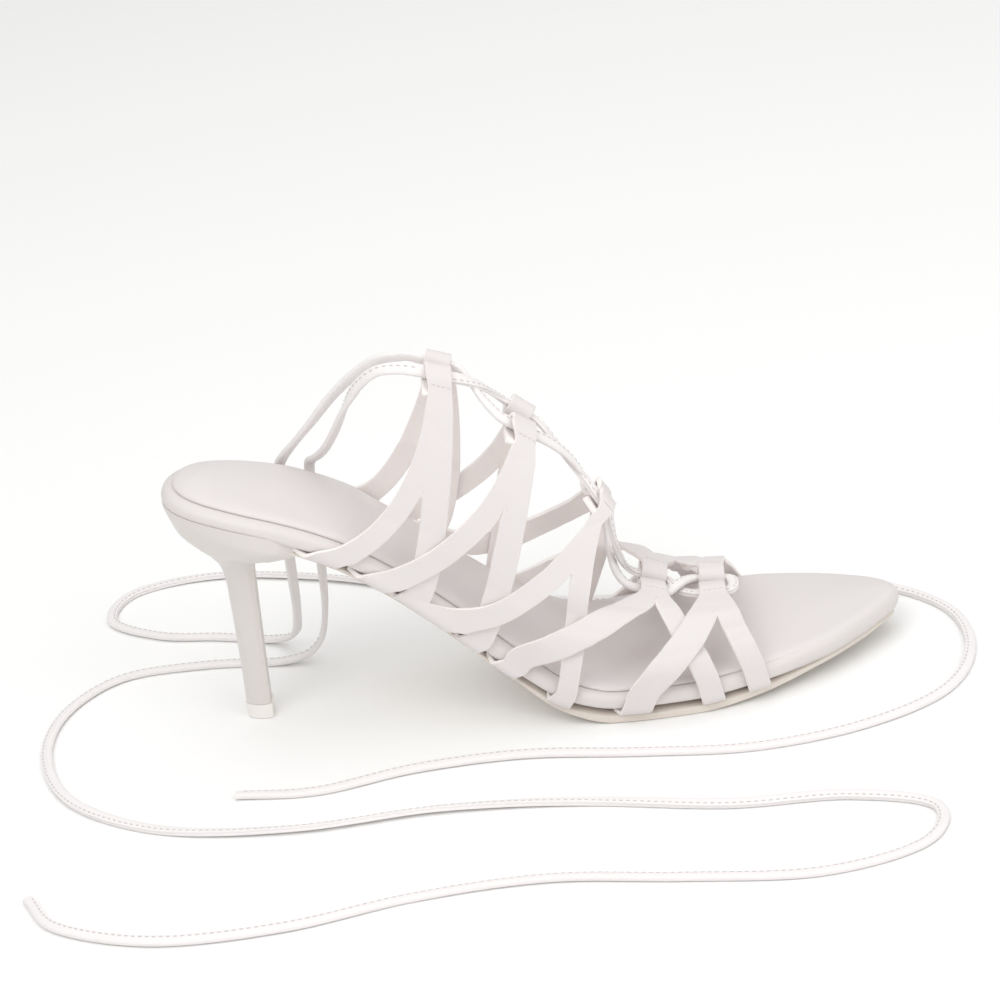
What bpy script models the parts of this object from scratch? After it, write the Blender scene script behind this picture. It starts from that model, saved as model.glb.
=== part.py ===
"""Ankle strap sandal for the right foot: padded footbed, outsole, covered stiletto heel, V straps and lace.

X runs from heel to toe, -Y is the outer (lateral) side, +Y the inner (medial) side, +Z is up.
Sizes are in millimetres and become metres where the meshes are made.
"""

import math

import bmesh
import bpy
import numpy as np
from mathutils import Matrix, Vector

MM = 0.001
LATERAL, MEDIAL = -1, 1

# Overall sizes
SOLE_LENGTH = 241.0
# The floor lies a little under the height that the seat line is measured from
FLOOR = -1.5
CENTRE = Vector((120.38, 0.22, FLOOR))
STATIONS = 42

# The sole's edge and seat line: station from the heel, seat height, outer and inner half width
SOLE_ROWS = (
    (0.0, 89.9, 0.0, 0.0),
    (2.0, 89.6, 9.0, 9.2),
    (6.0, 88.9, 14.7, 15.2),
    (14.0, 87.3, 20.2, 20.6),
    (30.0, 83.2, 24.9, 24.6),
    (45.0, 77.8, 26.0, 26.0),
    (60.0, 70.0, 26.2, 26.0),
    (75.0, 59.0, 26.2, 24.0),
    (95.0, 40.8, 27.2, 22.6),
    (112.0, 24.6, 30.4, 25.0),
    (130.0, 12.4, 35.0, 31.0),
    (142.0, 9.9, 36.8, 34.6),
    (155.0, 9.9, 37.3, 36.8),
    (168.0, 9.9, 36.6, 38.0),
    (187.0, 11.2, 33.2, 37.6),
    (212.0, 13.2, 22.0, 31.0),
    (226.0, 14.0, 11.0, 24.5),
    (235.0, 14.5, 1.6, 18.8),
    (239.0, 14.7, -3.2, 14.6),
    (241.0, 14.8, -9.0, 9.0),
)
STATION, SEAT, OUTER, INNER = range(4)

# Where the rim's section changes along the sole: heel seat to waist, waist to ball, ball to toe
SEAT_END, WAIST_START = 28.0, 42.0
WAIST_END, BALL_START = 112.0, 140.0
BALL_END, TOE_START = 170.0, 218.0

# Rim sections: inset at the heel seat, the waist, the ball and the toe, depth under the seat line,
# and how much deeper the row lies at the ball and at the toe
FOOTBED_RIM = (
    (2.8, 2.8, 2.8, 2.8, 1.0, 0.0, 0.0),
    (1.1, 1.1, 1.1, 1.1, 1.4, 0.0, 0.0),
    (0.3, 0.3, 0.3, 0.3, 2.3, 0.0, 0.0),
    (0.0, 0.0, 0.0, 0.0, 3.4, 0.0, 0.0),
    (0.0, 0.0, 0.0, 0.0, 4.9, 0.0, 0.0),
    (0.4, 0.6, 0.6, 0.6, 6.0, 0.0, 0.0),
    (0.9, 4.8, 4.8, 4.8, 6.1, 0.0, 0.0),
    (1.4, 4.8, 4.8, 4.8, 7.6, 0.0, 0.0),
)
PAD_RIM = (
    (6.4, 6.4, 5.8, 4.4, -1.5, 0.0, 0.9),
    (4.6, 4.6, 4.1, 3.0, -1.2, 0.0, 1.2),
    (3.9, 3.9, 3.4, 2.4, -0.5, 0.0, 0.9),
    (3.9, 3.9, 3.4, 2.4, 0.2, 0.0, 0.35),
    (4.6, 4.6, 4.1, 3.0, 0.7, 0.0, 0.1),
)
OUTSOLE_RIM = (
    (1.6, 3.6, 1.8, 1.6, 8.45, 0.0, 0.0),
    (0.9, 2.9, 1.1, 0.9, 8.7, 0.0, 0.0),
    (0.9, 2.9, 1.1, 0.9, 9.5, 1.5, 0.0),
    (1.4, 3.4, 1.6, 1.4, 9.9, 1.5, 0.0),
)
SEAT_CUT_RIM = (
    (-6.0, -6.0, -6.0, -6.0, -20.0, 0.0, 0.0),
    (-6.0, -6.0, -6.0, -6.0, 7.9, 0.0, 0.0),
)

# The heel: back x and z, breast x and z, half width of each section from the seat to the tip
HEEL_ROWS = (
    (0.7, 88.0, 45.5, 80.0, 25.0),
    (1.0, 82.0, 44.0, 68.8, 25.0),
    (1.9, 75.0, 34.5, 64.5, 20.0),
    (6.8, 67.5, 29.5, 61.9, 13.4),
    (12.0, 61.5, 27.0, 59.6, 8.2),
    (15.0, 56.4, 26.0, 56.2, 5.7),
    (15.9, 48.0, 25.6, 48.0, 4.9),
    (15.8, 25.0, 24.6, 25.0, 4.4),
    (15.3, 4.2, 23.8, 4.2, 4.1),
)
HEEL_LEVELS = 13
TIP_ROWS = (
    (15.1, 3.9, 24.0, 3.9, 4.3),
    (15.1, -1.0, 24.0, -1.0, 4.3),
    (15.5, -1.5, 23.6, -1.5, 3.9),
)
HEEL_SIDE_POINTS = 9
BREAST = 44.4

# The straps of each side: where the strap meets its loop (x, z, and y from the middle), slope of the
# crown, fullness, then foot x, sweep and width of the rear leg and of the front leg, and half the width
# of the tab at the loop
OUTER_STRAPS = (
    (99.5, 120.0, 6.2, -0.55, 1.70, 58.4, 1.99, 7.4, 82.8, 1.80, 9.0, 4.8),
    (124.3, 98.8, 8.2, -1.00, 1.82, 74.0, 1.91, 7.8, 101.5, 1.68, 8.6, 4.2),
    (146.4, 68.0, 5.4, -1.15, 1.60, 90.5, 1.82, 7.6, 127.0, 0.89, 6.9, 4.4),
    (158.3, 33.4, 5.9, -0.34, 3.30, 112.2, 1.37, 8.8, 173.2, 0.86, 7.7, 4.3),
    (177.7, 30.2, 6.0, -0.03, 2.90, 149.8, 1.70, 9.6, 188.6, 0.98, 7.8, 4.3),
)
INNER_STRAPS = (
    (99.5, 120.0, 6.2, -0.55, 1.55, 64.8, 1.51, 7.4, 85.0, 2.60, 9.0, 4.8),
    (124.3, 98.8, 8.2, -1.05, 1.95, 77.0, 2.14, 7.8, 107.0, 1.45, 8.6, 4.2),
    (146.4, 68.0, 5.4, -1.10, 1.68, 88.0, 2.40, 7.8, 132.3, 2.20, 7.2, 4.4),
    (159.3, 32.6, 5.9, -0.45, 2.35, 112.5, 1.60, 9.2, 174.0, 0.90, 7.7, 4.3),
    (178.2, 29.6, 6.0, -0.12, 1.60, 147.0, 1.05, 8.8, 185.5, 1.30, 7.6, 4.3),
)
STRAPS = {LATERAL: OUTER_STRAPS, MEDIAL: INNER_STRAPS}
LOOP_X, LOOP_Z, THROAT, CROWN, FULLNESS = range(5)
REAR = slice(5, 8)
FRONT = slice(8, 11)
TAB = 11
TAB_START = 0.78
STRAP_WALL = 1.5
# How far a rear leg rides over the front leg that it crosses
STRAP_RIDE = 0.7
STRAP_LEVELS = 10
ACROSS = (-1.0, 0.0, 1.0)
# The strap's inner face round the rim: outward of the edge and depth under the seat line
WRAP_ROWS = ((-3.6, 6.5), (-1.2, 6.5), (-0.2, 6.3), (0.45, 5.0), (0.45, 3.2))
REAR_END = 0.93
# How much a leg runs along the shoe as it turns under: taken near its foot, and at most this much
LEAN_LEVEL = 0.06
LEAN_MOST = 1.4

# Loops and lace
LOOP_BORE = 2.1
LOOP_WALL = 1.6
LOOP_LENGTH = 9.0
LOOP_SIDES = 12
LACE_RADIUS = 1.5
LACE_CLEAR = 0.5
LACE_STEPS = 9
CROSS_RISE = 0.9
END_POINTS = 78

# Routes of the free ends after the rear loops, over the seat's edge and along the floor: x, y and z
LATERAL_END = (
    (85.0, -5.0, 124.6),
    (77.0, -3.6, 124.0),
    (70.2, -0.2, 117.4),
    (64.6, 4.8, 107.2),
    (59.6, 10.2, 97.0),
    (54.8, 15.8, 88.2),
    (50.6, 20.8, 82.8),
    (47.8, 25.4, 79.6),
    (46.7, 28.6, 74.4),
    (46.2, 29.2, 64.0),
    (45.4, 29.6, 44.0),
    (43.8, 30.6, 20.0),
    (39.0, 32.4, 5.4),
    (27.0, 33.4, 0.2),
    (-3.0, 38.0, 0.2),
    (-32.0, 35.0, 0.2),
    (-50.0, 13.0, 0.2),
    (-53.0, -18.0, 0.2),
    (-40.0, -50.0, 0.2),
    (-8.0, -73.0, 0.2),
    (36.0, -82.0, 0.2),
    (82.0, -80.0, 0.2),
    (128.0, -85.0, 0.2),
    (174.0, -97.0, 0.2),
    (212.0, -100.0, 0.2),
    (239.0, -112.0, 0.2),
    (233.0, -133.0, 0.2),
    (200.0, -143.0, 0.2),
    (158.0, -137.0, 0.2),
    (116.0, -129.0, 0.2),
    (74.0, -131.0, 0.2),
    (34.0, -140.0, 0.2),
    (-6.0, -140.0, 0.2),
    (-38.0, -126.0, 0.2),
    (-50.0, -106.0, 0.2),
)
MEDIAL_END = (
    (85.0, 5.0, 124.6),
    (76.4, 7.4, 122.8),
    (67.6, 10.4, 116.2),
    (59.2, 13.8, 107.0),
    (51.2, 17.2, 97.4),
    (44.2, 20.6, 89.2),
    (39.4, 24.2, 83.2),
    (36.8, 27.6, 78.0),
    (35.8, 29.0, 70.0),
    (35.2, 29.6, 58.0),
    (34.4, 31.4, 38.0),
    (33.2, 36.0, 17.0),
    (29.8, 43.0, 5.0),
    (20.0, 51.0, 0.2),
    (2.0, 58.0, 0.2),
    (-20.0, 64.0, 0.2),
    (-39.0, 80.0, 0.2),
    (-32.0, 101.0, 0.2),
    (-2.0, 107.0, 0.2),
    (38.0, 95.0, 0.2),
    (74.0, 77.0, 0.2),
    (108.0, 61.0, 0.2),
    (140.0, 51.5, 0.2),
    (176.0, 49.0, 0.2),
    (210.0, 46.5, 0.2),
    (240.0, 36.0, 0.2),
    (259.0, 14.0, 0.2),
    (262.0, -15.0, 0.2),
    (250.0, -41.0, 0.2),
    (222.0, -57.0, 0.2),
    (186.0, -63.0, 0.2),
    (148.0, -58.0, 0.2),
    (110.0, -51.0, 0.2),
    (74.0, -52.0, 0.2),
    (42.0, -59.0, 0.2),
    (14.0, -56.0, 0.2),
)

for old in list(bpy.data.objects):
    bpy.data.objects.remove(old)

PARTS = bpy.data.collections.new("ankle_strap_sandal")
CUTTERS = bpy.data.collections.new("cutters")
bpy.context.scene.collection.children.link(PARTS)
bpy.context.scene.collection.children.link(CUTTERS)


def smooth_rows(xs, ys, at):
    """A smooth curve through rows that never overshoots them."""
    xs = np.asarray(xs, float)
    ys = np.asarray(ys, float)
    gaps = np.diff(xs)
    rises = np.diff(ys) / gaps
    slopes = np.zeros(len(xs))
    slopes[0] = rises[0]
    slopes[-1] = rises[-1]
    for i in range(1, len(xs) - 1):
        if rises[i - 1] * rises[i] > 0:
            near = 2 * gaps[i] + gaps[i - 1]
            far = gaps[i] + 2 * gaps[i - 1]
            slopes[i] = (near + far) / (near / rises[i - 1] + far / rises[i])
    at = min(max(at, xs[0]), xs[-1])
    i = min(int(np.searchsorted(xs, at, side="right")) - 1, len(xs) - 2)
    t = (at - xs[i]) / gaps[i]
    low = (1 + 2 * t) * (1 - t) ** 2 * ys[i] + t * (1 - t) ** 2 * gaps[i] * slopes[i]
    high = t * t * (3 - 2 * t) * ys[i + 1] + t * t * (t - 1) * gaps[i] * slopes[i + 1]
    return float(low + high)


def turn_at(x):
    """The angle that goes with a station, so that the ends of the outline come out round."""
    return math.acos(min(max(1 - 2 * x / SOLE_LENGTH, -1.0), 1.0))


SOLE_X = [row[STATION] for row in SOLE_ROWS]
SOLE_TURN = [turn_at(row[STATION]) for row in SOLE_ROWS]


def seat(x):
    return smooth_rows(SOLE_X, [row[SEAT] for row in SOLE_ROWS], x)


def half_width(side, turn):
    column = OUTER if side == LATERAL else INNER
    return smooth_rows(SOLE_TURN, [row[column] for row in SOLE_ROWS], turn)


def edge(side, turn):
    """Plan point of the sole's edge."""
    return Vector((SOLE_LENGTH * (1 - math.cos(turn)) / 2, side * half_width(side, turn)))


def rim(side, turn, out, depth):
    """A point outward of the sole's edge and square under the seat line."""
    step = 0.004
    here = edge(side, turn)
    along = edge(side, min(turn + step, math.pi)) - edge(side, max(turn - step, 0.0))
    if turn < step or turn > math.pi - step:
        along.x = 0.0
    along.normalize()
    outward = Vector((-side * along.y, side * along.x))
    fall = (seat(here.x + 1.0) - seat(here.x - 1.0)) / 2
    square = Vector((-fall, 0.0, 1.0)).normalized()
    point = Vector((here.x + out * outward.x, here.y + out * outward.y, seat(here.x)))
    return point - depth * square


def blend(low, high, at):
    t = min(max((at - low) / (high - low), 0.0), 1.0)
    return t * t * (3 - 2 * t)


def rim_row(row, x):
    """Inset and depth of a rim row at a station."""
    waist = blend(SEAT_END, WAIST_START, x)
    ball = blend(WAIST_END, BALL_START, x)
    toe = blend(BALL_END, TOE_START, x)
    inset = row[0] + (row[1] - row[0]) * waist + (row[2] - row[1]) * ball + (row[3] - row[2]) * toe
    return inset, row[4] + row[5] * (ball - toe) + row[6] * toe


def material(name, hexcode, rough):
    made = bpy.data.materials.new(name)
    made.use_nodes = True
    shader = made.node_tree.nodes["Principled BSDF"]
    parts = [int(hexcode[i : i + 2], 16) / 255 for i in (0, 2, 4)]
    linear = [((c + 0.055) / 1.055) ** 2.4 if c > 0.04045 else c / 12.92 for c in parts]
    shader.inputs["Base Color"].default_value = (*linear, 1.0)
    shader.inputs["Roughness"].default_value = rough
    return made


WHITE = material("white leather", "F0EEEA", 0.5)
SOCK = material("insole leather", "E9E7E4", 0.45)
TAN = material("tan sole leather", "CDB59C", 0.6)
COVER = material("heel cover leather", "E8E5E0", 0.5)
RUBBER = material("heel tip rubber", "E4E0DA", 0.6)
CORD = material("lace leather", "F2F1EE", 0.55)


def placed(name, mesh, paint, collection=PARTS):
    thing = bpy.data.objects.new(name, mesh)
    thing.data.materials.append(paint)
    collection.objects.link(thing)
    if collection is CUTTERS:
        thing.hide_render = True
        thing.display_type = "WIRE"
    return thing


def meshed(name, points, faces, paint, collection=PARTS):
    mesh = bpy.data.meshes.new(name)
    mesh.from_pydata([(Vector(p) - CENTRE) * MM for p in points], [], faces)
    return placed(name, mesh, paint, collection)


def combine(thing, other, how):
    joint = thing.modifiers.new(how.lower(), "BOOLEAN")
    joint.object = other
    joint.operation = how
    joint.solver = "EXACT"


def plate(name, rows, paint, collection=PARTS):
    """A layer of the sole: its rim section carried round the outline, its faces ruled across."""
    turns = [math.pi * i / STATIONS for i in range(STATIONS + 1)]
    walk = [(LATERAL, t) for t in turns] + [(MEDIAL, t) for t in turns[-2:0:-1]]
    size = len(walk)
    points = []
    for row in rows:
        for side, turn in walk:
            inset, depth = rim_row(row, edge(side, turn).x)
            points.append(rim(side, turn, -inset, depth))
    faces = []
    for k in range(len(rows) - 1):
        for i in range(size):
            j = (i + 1) % size
            faces.append((k * size + i, (k + 1) * size + i, (k + 1) * size + j, k * size + j))
    last = (len(rows) - 1) * size
    for i in range(STATIONS):
        across = [i, i + 1, (size - i - 1) % size, (size - i) % size]
        loop = list(dict.fromkeys(across))
        faces.append(loop)
        faces.append([last + v for v in reversed(loop)])
    return meshed(name, points, faces, paint, collection)


def heel_section(row):
    """A section with a round back and a flat breast, tilted from its back point to its breast point."""
    back = Vector((row[0], 0.0, row[1]))
    breast = Vector((row[2], 0.0, row[3]))
    points = []
    for side in (LATERAL, MEDIAL):
        ring = []
        for i in range(HEEL_SIDE_POINTS):
            along = (i / (HEEL_SIDE_POINTS - 1)) ** 1.5
            wide = row[4] * math.sqrt(math.sin(math.pi / 2 * min(along / 0.8, 1.0)))
            wide *= 1 - 0.12 * blend(0.82, 1.0, along)
            here = back.lerp(breast, along)
            ring.append(Vector((here.x, side * wide - 0.2, here.z)))
        points += ring if side == LATERAL else ring[:0:-1]
    return points


def loft(name, rows, levels, paint):
    """Sections of one kind skinned into a closed solid."""
    count = len(rows) - 1
    wanted = [count * i / levels for i in range(levels + 1)]
    columns = list(zip(*rows))
    sections = []
    for at in wanted:
        sections.append(heel_section([smooth_rows(range(count + 1), c, at) for c in columns]))
    size = len(sections[0])
    points = [p for section in sections for p in section]
    faces = []
    for k in range(levels):
        for i in range(size):
            j = (i + 1) % size
            faces.append((k * size + i, (k + 1) * size + i, (k + 1) * size + j, k * size + j))
    faces.append(list(range(size)))
    faces.append([levels * size + i for i in reversed(range(size))])
    return meshed(name, points, faces, paint)


def strap_point(row, side, x, level, ride):
    """The strap's inner face: the last's form from the rim (level 0) up to the throat (level 1)."""
    turn = turn_at(x)
    foot = rim(side, turn, *WRAP_ROWS[-1])
    loop_foot = rim(side, turn_at(row[LOOP_X]), *WRAP_ROWS[-1])
    power = 2 / row[FULLNESS]
    top = math.acos((row[THROAT] / abs(loop_foot.y)) ** (1 / power))
    peak = loop_foot.z + (row[LOOP_Z] - loop_foot.z) / math.sin(top) ** power
    crown = peak + row[CROWN] * (foot.x - loop_foot.x)
    swing = top * level
    wide = foot.y * math.cos(swing) ** power
    high = foot.z + (crown - foot.z) * math.sin(swing) ** power
    outward = Vector((0.0, side * math.cos(swing), math.sin(swing)))
    return Vector((foot.x, wide, high)) + ride * outward


def leg_line(row, foot, sweep, level):
    """Station of a leg's middle at a level."""
    return row[LOOP_X] + (foot - row[LOOP_X]) * (1 - level) ** sweep


def leg_half(row, side, foot, sweep, width, level):
    """Half the leg's width, measured along the shoe, so that the leg keeps its width on the slant."""
    low, high = max(level - 0.03, 0.0), min(level + 0.03, 1.0)
    start = strap_point(row, side, leg_line(row, foot, sweep, low), low, 0.0)
    end = strap_point(row, side, leg_line(row, foot, sweep, high), high, 0.0)
    middle = leg_line(row, foot, sweep, level)
    rear = strap_point(row, side, middle - 1.0, level, 0.0)
    fore = strap_point(row, side, middle + 1.0, level, 0.0)
    slant = (end - start).length / ((fore - rear) / 2).cross(end - start).length
    return width / 2 * min(slant, 1.9)


def leg_lean(row, side, foot, sweep):
    """How far a leg runs along the shoe for each millimetre that it turns under the rim."""
    rise = strap_point(row, side, foot, LEAN_LEVEL, 0.0) - strap_point(row, side, foot, 0.0, 0.0)
    run = leg_line(row, foot, sweep, LEAN_LEVEL) - foot
    return min(max(run / rise.length, -LEAN_MOST), LEAN_MOST)


def loop_frame(row, side):
    """Centre of a loop's tunnel, its axis towards the toe, and the outward direction."""
    here = strap_point(row, side, row[LOOP_X], 1.0, 0.0)
    fore = strap_point(row, side, row[LOOP_X] + 3.0, 1.0, 0.0)
    rear = strap_point(row, side, row[LOOP_X] - 3.0, 1.0, 0.0)
    below = strap_point(row, side, row[LOOP_X], 0.95, 0.0)
    axis = (fore - rear).normalized()
    outward = (axis.cross(here - below) * -side).normalized()
    if outward.z < 0:
        outward = -outward
    return here + outward * (STRAP_WALL - LOOP_BORE - LOOP_WALL), axis, outward


def strap_leg(name, row, side, leg, ride, end):
    """A leg from its turned-under end, round the rim and up to the throat, where it widens to the tab."""
    foot, sweep, width = leg
    _, axis, _ = loop_frame(row, side)
    points = []
    half = leg_half(row, side, foot, sweep, width, 0.0)
    lean = leg_lean(row, side, foot, sweep)
    for i, (out, depth) in enumerate(WRAP_ROWS[:-1]):
        back = lean * sum(math.dist(a, b) for a, b in zip(WRAP_ROWS[i:], WRAP_ROWS[i + 1 :]))
        for across in ACROSS:
            points.append(rim(side, turn_at(foot - back + across * half), out, depth))
    for i in range(STRAP_LEVELS + 1):
        level = end * i / STRAP_LEVELS
        middle = leg_line(row, foot, sweep, level)
        half = leg_half(row, side, foot, sweep, width, level)
        half += (row[TAB] * axis.x - half) * blend(TAB_START, 1.0, level)
        lift = ride * blend(0.0, 0.12, level)
        for across in ACROSS:
            points.append(strap_point(row, side, middle + across * half, level, lift))
    faces = []
    count = len(ACROSS)
    for i in range(len(points) // count - 1):
        for j in range(count - 1):
            at = i * count + j
            quad = (at, at + 1, at + count + 1, at + count)
            faces.append(quad if side == LATERAL else quad[::-1])
    strip = meshed(name, points, faces, WHITE, CUTTERS)
    wall = strip.modifiers.new("wall", "SOLIDIFY")
    wall.thickness = STRAP_WALL * MM
    wall.offset = 1.0
    wall.use_even_offset = True
    return strip


def strap_loop(name, row, side):
    """The strap's fold round the lace, a short open tunnel."""
    centre, axis, outward = loop_frame(row, side)
    across = axis.cross(outward)
    radius = LOOP_BORE + LOOP_WALL / 2
    points = []
    for i in range(LOOP_SIDES):
        angle = 2 * math.pi * (i + 0.5) / LOOP_SIDES
        arm = outward * math.cos(angle) + across * math.sin(angle)
        for sign in (-1, 1):
            points.append(centre + axis * sign * LOOP_LENGTH / 2 + arm * radius)
    faces = []
    for i in range(LOOP_SIDES):
        j = (i + 1) % LOOP_SIDES
        faces.append((2 * i, 2 * i + 1, 2 * j + 1, 2 * j))
    ring = meshed(name, points, faces, WHITE, CUTTERS)
    wall = ring.modifiers.new("wall", "SOLIDIFY")
    wall.thickness = LOOP_WALL * MM
    wall.offset = 0.0
    wall.use_even_offset = True
    return ring


def upper(name, side):
    """One side's five straps, joined where they cross."""
    pieces = []
    for i, row in enumerate(STRAPS[side]):
        tag = f"{name}_{i + 1}"
        pieces.append(strap_leg(f"{tag}_front", row, side, row[FRONT], 0.0, 1.0))
        pieces.append(strap_leg(f"{tag}_rear", row, side, row[REAR], STRAP_RIDE, REAR_END))
        pieces.append(strap_loop(f"{tag}_loop", row, side))
    body = placed(name, pieces[0].data.copy(), WHITE)
    body.data.materials.clear()
    body.data.materials.append(WHITE)
    wall = body.modifiers.new("wall", "SOLIDIFY")
    wall.thickness = STRAP_WALL * MM
    wall.offset = 1.0
    wall.use_even_offset = True
    for piece in pieces[1:]:
        combine(body, piece, "UNION")
    return body


def through(points, count):
    """Even steps along a smooth curve through a route's own points."""
    route = [2 * points[0] - points[1]] + list(points) + [2 * points[-1] - points[-2]]
    fine = []
    for i in range(1, len(route) - 2):
        a, b, c, d = route[i - 1 : i + 3]
        for k in range(24):
            t = k / 24
            curve = 2 * b + (c - a) * t
            curve += (2 * a - 5 * b + 4 * c - d) * t * t
            curve += (3 * b - a - 3 * c + d) * t ** 3
            fine.append(curve / 2)
    fine.append(points[-1])
    reach = [0.0]
    for a, b in zip(fine, fine[1:]):
        reach.append(reach[-1] + (b - a).length)
    wanted = np.linspace(0.0, reach[-1], count)
    columns = [np.interp(wanted, reach, [p[k] for p in fine]) for k in range(3)]
    return [Vector(p) for p in zip(*columns)]


def cord(name, points, collection=PARTS):
    """A round cord along points."""
    curve = bpy.data.curves.new(name, "CURVE")
    curve.dimensions = "3D"
    curve.bevel_depth = LACE_RADIUS * MM
    curve.bevel_resolution = 2
    curve.use_fill_caps = True
    spline = curve.splines.new("POLY")
    spline.points.add(len(points) - 1)
    for place, point in zip(spline.points, points):
        place.co = (*((point - CENTRE) * MM), 1.0)
    return placed(name, curve, CORD, collection)


def mouth(index, side, end):
    """Where the lace leaves a loop, and its heading there; end is 1 for the toe end, -1 for the rear."""
    centre, axis, outward = loop_frame(STRAPS[side][index], side)
    reach = LOOP_LENGTH / 2 + LACE_CLEAR
    return centre + axis * end * reach, axis * end, outward


def strand(start, start_heading, stop, stop_heading, lift):
    """A lace strand between two loop mouths, lifted at its middle."""
    pull = (stop - start).length * 0.8
    points = []
    for i in range(LACE_STEPS):
        t = i / (LACE_STEPS - 1)
        point = (1 + 2 * t) * (1 - t) ** 2 * start + t * t * (3 - 2 * t) * stop
        point += t * (1 - t) ** 2 * pull * start_heading + t * t * (1 - t) * pull * stop_heading
        points.append(point + lift * math.sin(math.pi * t) ** 2)
    return points


def as_mesh(thing):
    """A cord turned into a mesh object of the same name."""
    depth = bpy.context.evaluated_depsgraph_get()
    mesh = bpy.data.meshes.new_from_object(thing.evaluated_get(depth))
    name = thing.name
    collection = thing.users_collection[0]
    bpy.data.objects.remove(thing)
    shape = bmesh.new()
    shape.from_mesh(mesh)
    bmesh.ops.remove_doubles(shape, verts=shape.verts, dist=1e-6)
    bmesh.ops.recalc_face_normals(shape, faces=shape.faces)
    shape.to_mesh(mesh)
    shape.free()
    mesh.materials.clear()
    return placed(name, mesh, CORD, collection)


def lace_cross(index):
    """The lace's crossing between two pairs of loops, its strands joined where they meet."""
    strands = []
    for side, rise in ((LATERAL, CROSS_RISE), (MEDIAL, -CROSS_RISE)):
        start, start_heading, outward = mouth(index, side, 1)
        stop, stop_heading, _ = mouth(index + 1, -side, -1)
        strands.append(strand(start, start_heading, stop, stop_heading, outward * rise))
    over = as_mesh(cord(f"lace_cross_{index + 1}", strands[0]))
    under = as_mesh(cord(f"lace_strand_{index + 1}", strands[1], CUTTERS))
    combine(over, under, "UNION")


def free_end(name, side, route):
    start, heading, _ = mouth(0, side, -1)
    points = through([start, start + heading * 5.0] + [Vector(p) for p in route], END_POINTS)
    for point in points:
        point.z = max(point.z, FLOOR + LACE_RADIUS + 0.1)
    cord(name, points)


plate("footbed", FOOTBED_RIM, WHITE)
plate("insole_pad", PAD_RIM, SOCK)

outsole = plate("outsole", OUTSOLE_RIM, TAN)
bpy.ops.mesh.primitive_cube_add(size=1.0, location=(0.0, 0.0, 0.0))
breast_cut = bpy.context.object
breast_cut.name = "breast_cut"
BREAST_BLOCK = 80.0
breast_cut.data.transform(Matrix.Scale(BREAST_BLOCK * 2 * MM, 4))
breast_cut.data.transform(Matrix.Translation((Vector((BREAST - BREAST_BLOCK, 0.0, 70.0)) - CENTRE) * MM))
for home in list(breast_cut.users_collection):
    home.objects.unlink(breast_cut)
CUTTERS.objects.link(breast_cut)
breast_cut.hide_render = True
breast_cut.display_type = "WIRE"
combine(outsole, breast_cut, "DIFFERENCE")

heel = loft("heel", HEEL_ROWS, HEEL_LEVELS, COVER)
combine(heel, plate("seat_cut", SEAT_CUT_RIM, COVER, CUTTERS), "DIFFERENCE")
loft("heel_tip", TIP_ROWS, len(TIP_ROWS) - 1, RUBBER)

upper("upper_lateral", LATERAL)
upper("upper_medial", MEDIAL)

bight_start, bight_heading, _ = mouth(len(OUTER_STRAPS) - 1, LATERAL, 1)
bight_stop, bight_back, _ = mouth(len(OUTER_STRAPS) - 1, MEDIAL, 1)
cord("lace_bight", strand(bight_start, bight_heading, bight_stop, bight_back, Vector((0.0, 0.0, 0.0))))
for cross in range(len(OUTER_STRAPS) - 1):
    lace_cross(cross)
free_end("lace_end_lateral", LATERAL, LATERAL_END)
free_end("lace_end_medial", MEDIAL, MEDIAL_END)
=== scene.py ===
"""Dresses the ankle strap sandal: leather, lace, stitching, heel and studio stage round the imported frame.

X runs from heel to toe, -Y is the outer (lateral) side, +Y the inner (medial) side, +Z is up.
Sizes are in millimetres from the heel's back and become metres where the meshes are made.
"""

import functools
import math

import bpy
import numpy as np
from bpy.props import FloatProperty, FloatVectorProperty, PointerProperty
from mathutils import Matrix, Vector


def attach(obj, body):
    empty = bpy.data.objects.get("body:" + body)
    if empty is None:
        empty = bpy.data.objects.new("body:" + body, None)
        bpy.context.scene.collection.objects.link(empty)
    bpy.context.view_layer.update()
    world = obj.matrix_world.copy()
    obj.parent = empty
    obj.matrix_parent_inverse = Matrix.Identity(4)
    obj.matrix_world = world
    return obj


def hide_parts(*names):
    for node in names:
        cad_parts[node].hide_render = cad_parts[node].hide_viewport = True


bl_info = {
    "name": "Ankle strap sandal",
    "version": (1, 0, 0),
    "blender": (4, 5, 0),
    "location": "3D View > Sidebar > Sandal",
    "description": "Straps, lace, footbed, heel and stage of a lace-up stiletto sandal",
    "category": "Object",
}

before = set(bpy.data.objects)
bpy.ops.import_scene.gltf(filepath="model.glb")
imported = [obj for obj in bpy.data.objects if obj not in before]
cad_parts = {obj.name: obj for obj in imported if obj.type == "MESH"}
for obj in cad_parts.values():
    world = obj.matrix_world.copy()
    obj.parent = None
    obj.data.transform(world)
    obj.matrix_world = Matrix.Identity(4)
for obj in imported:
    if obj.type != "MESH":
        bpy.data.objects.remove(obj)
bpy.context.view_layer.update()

MM = 0.001
# Points closer than these, in metres, are one: along seams, along a strap's middle and in slivers
SEAM = 2e-6
STRAP_SEAM = 5e-6
SLIVER = 1e-7
# Edges sharper than these angles, in degrees, stay crisp
LACE_CRISP, STRAP_CRISP, SOLE_CRISP, HEEL_CRISP = 50.0, 60.0, 40.0, 35.0
LATERAL, MEDIAL = -1, 1
SIDE_NAME = {LATERAL: "lateral", MEDIAL: "medial"}
# The floor lies a little under the height that the seat line is measured from
FLOOR = -1.5
CENTRE = Vector((120.38, 0.22, FLOOR))
SOLE_LENGTH = 241.0

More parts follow.
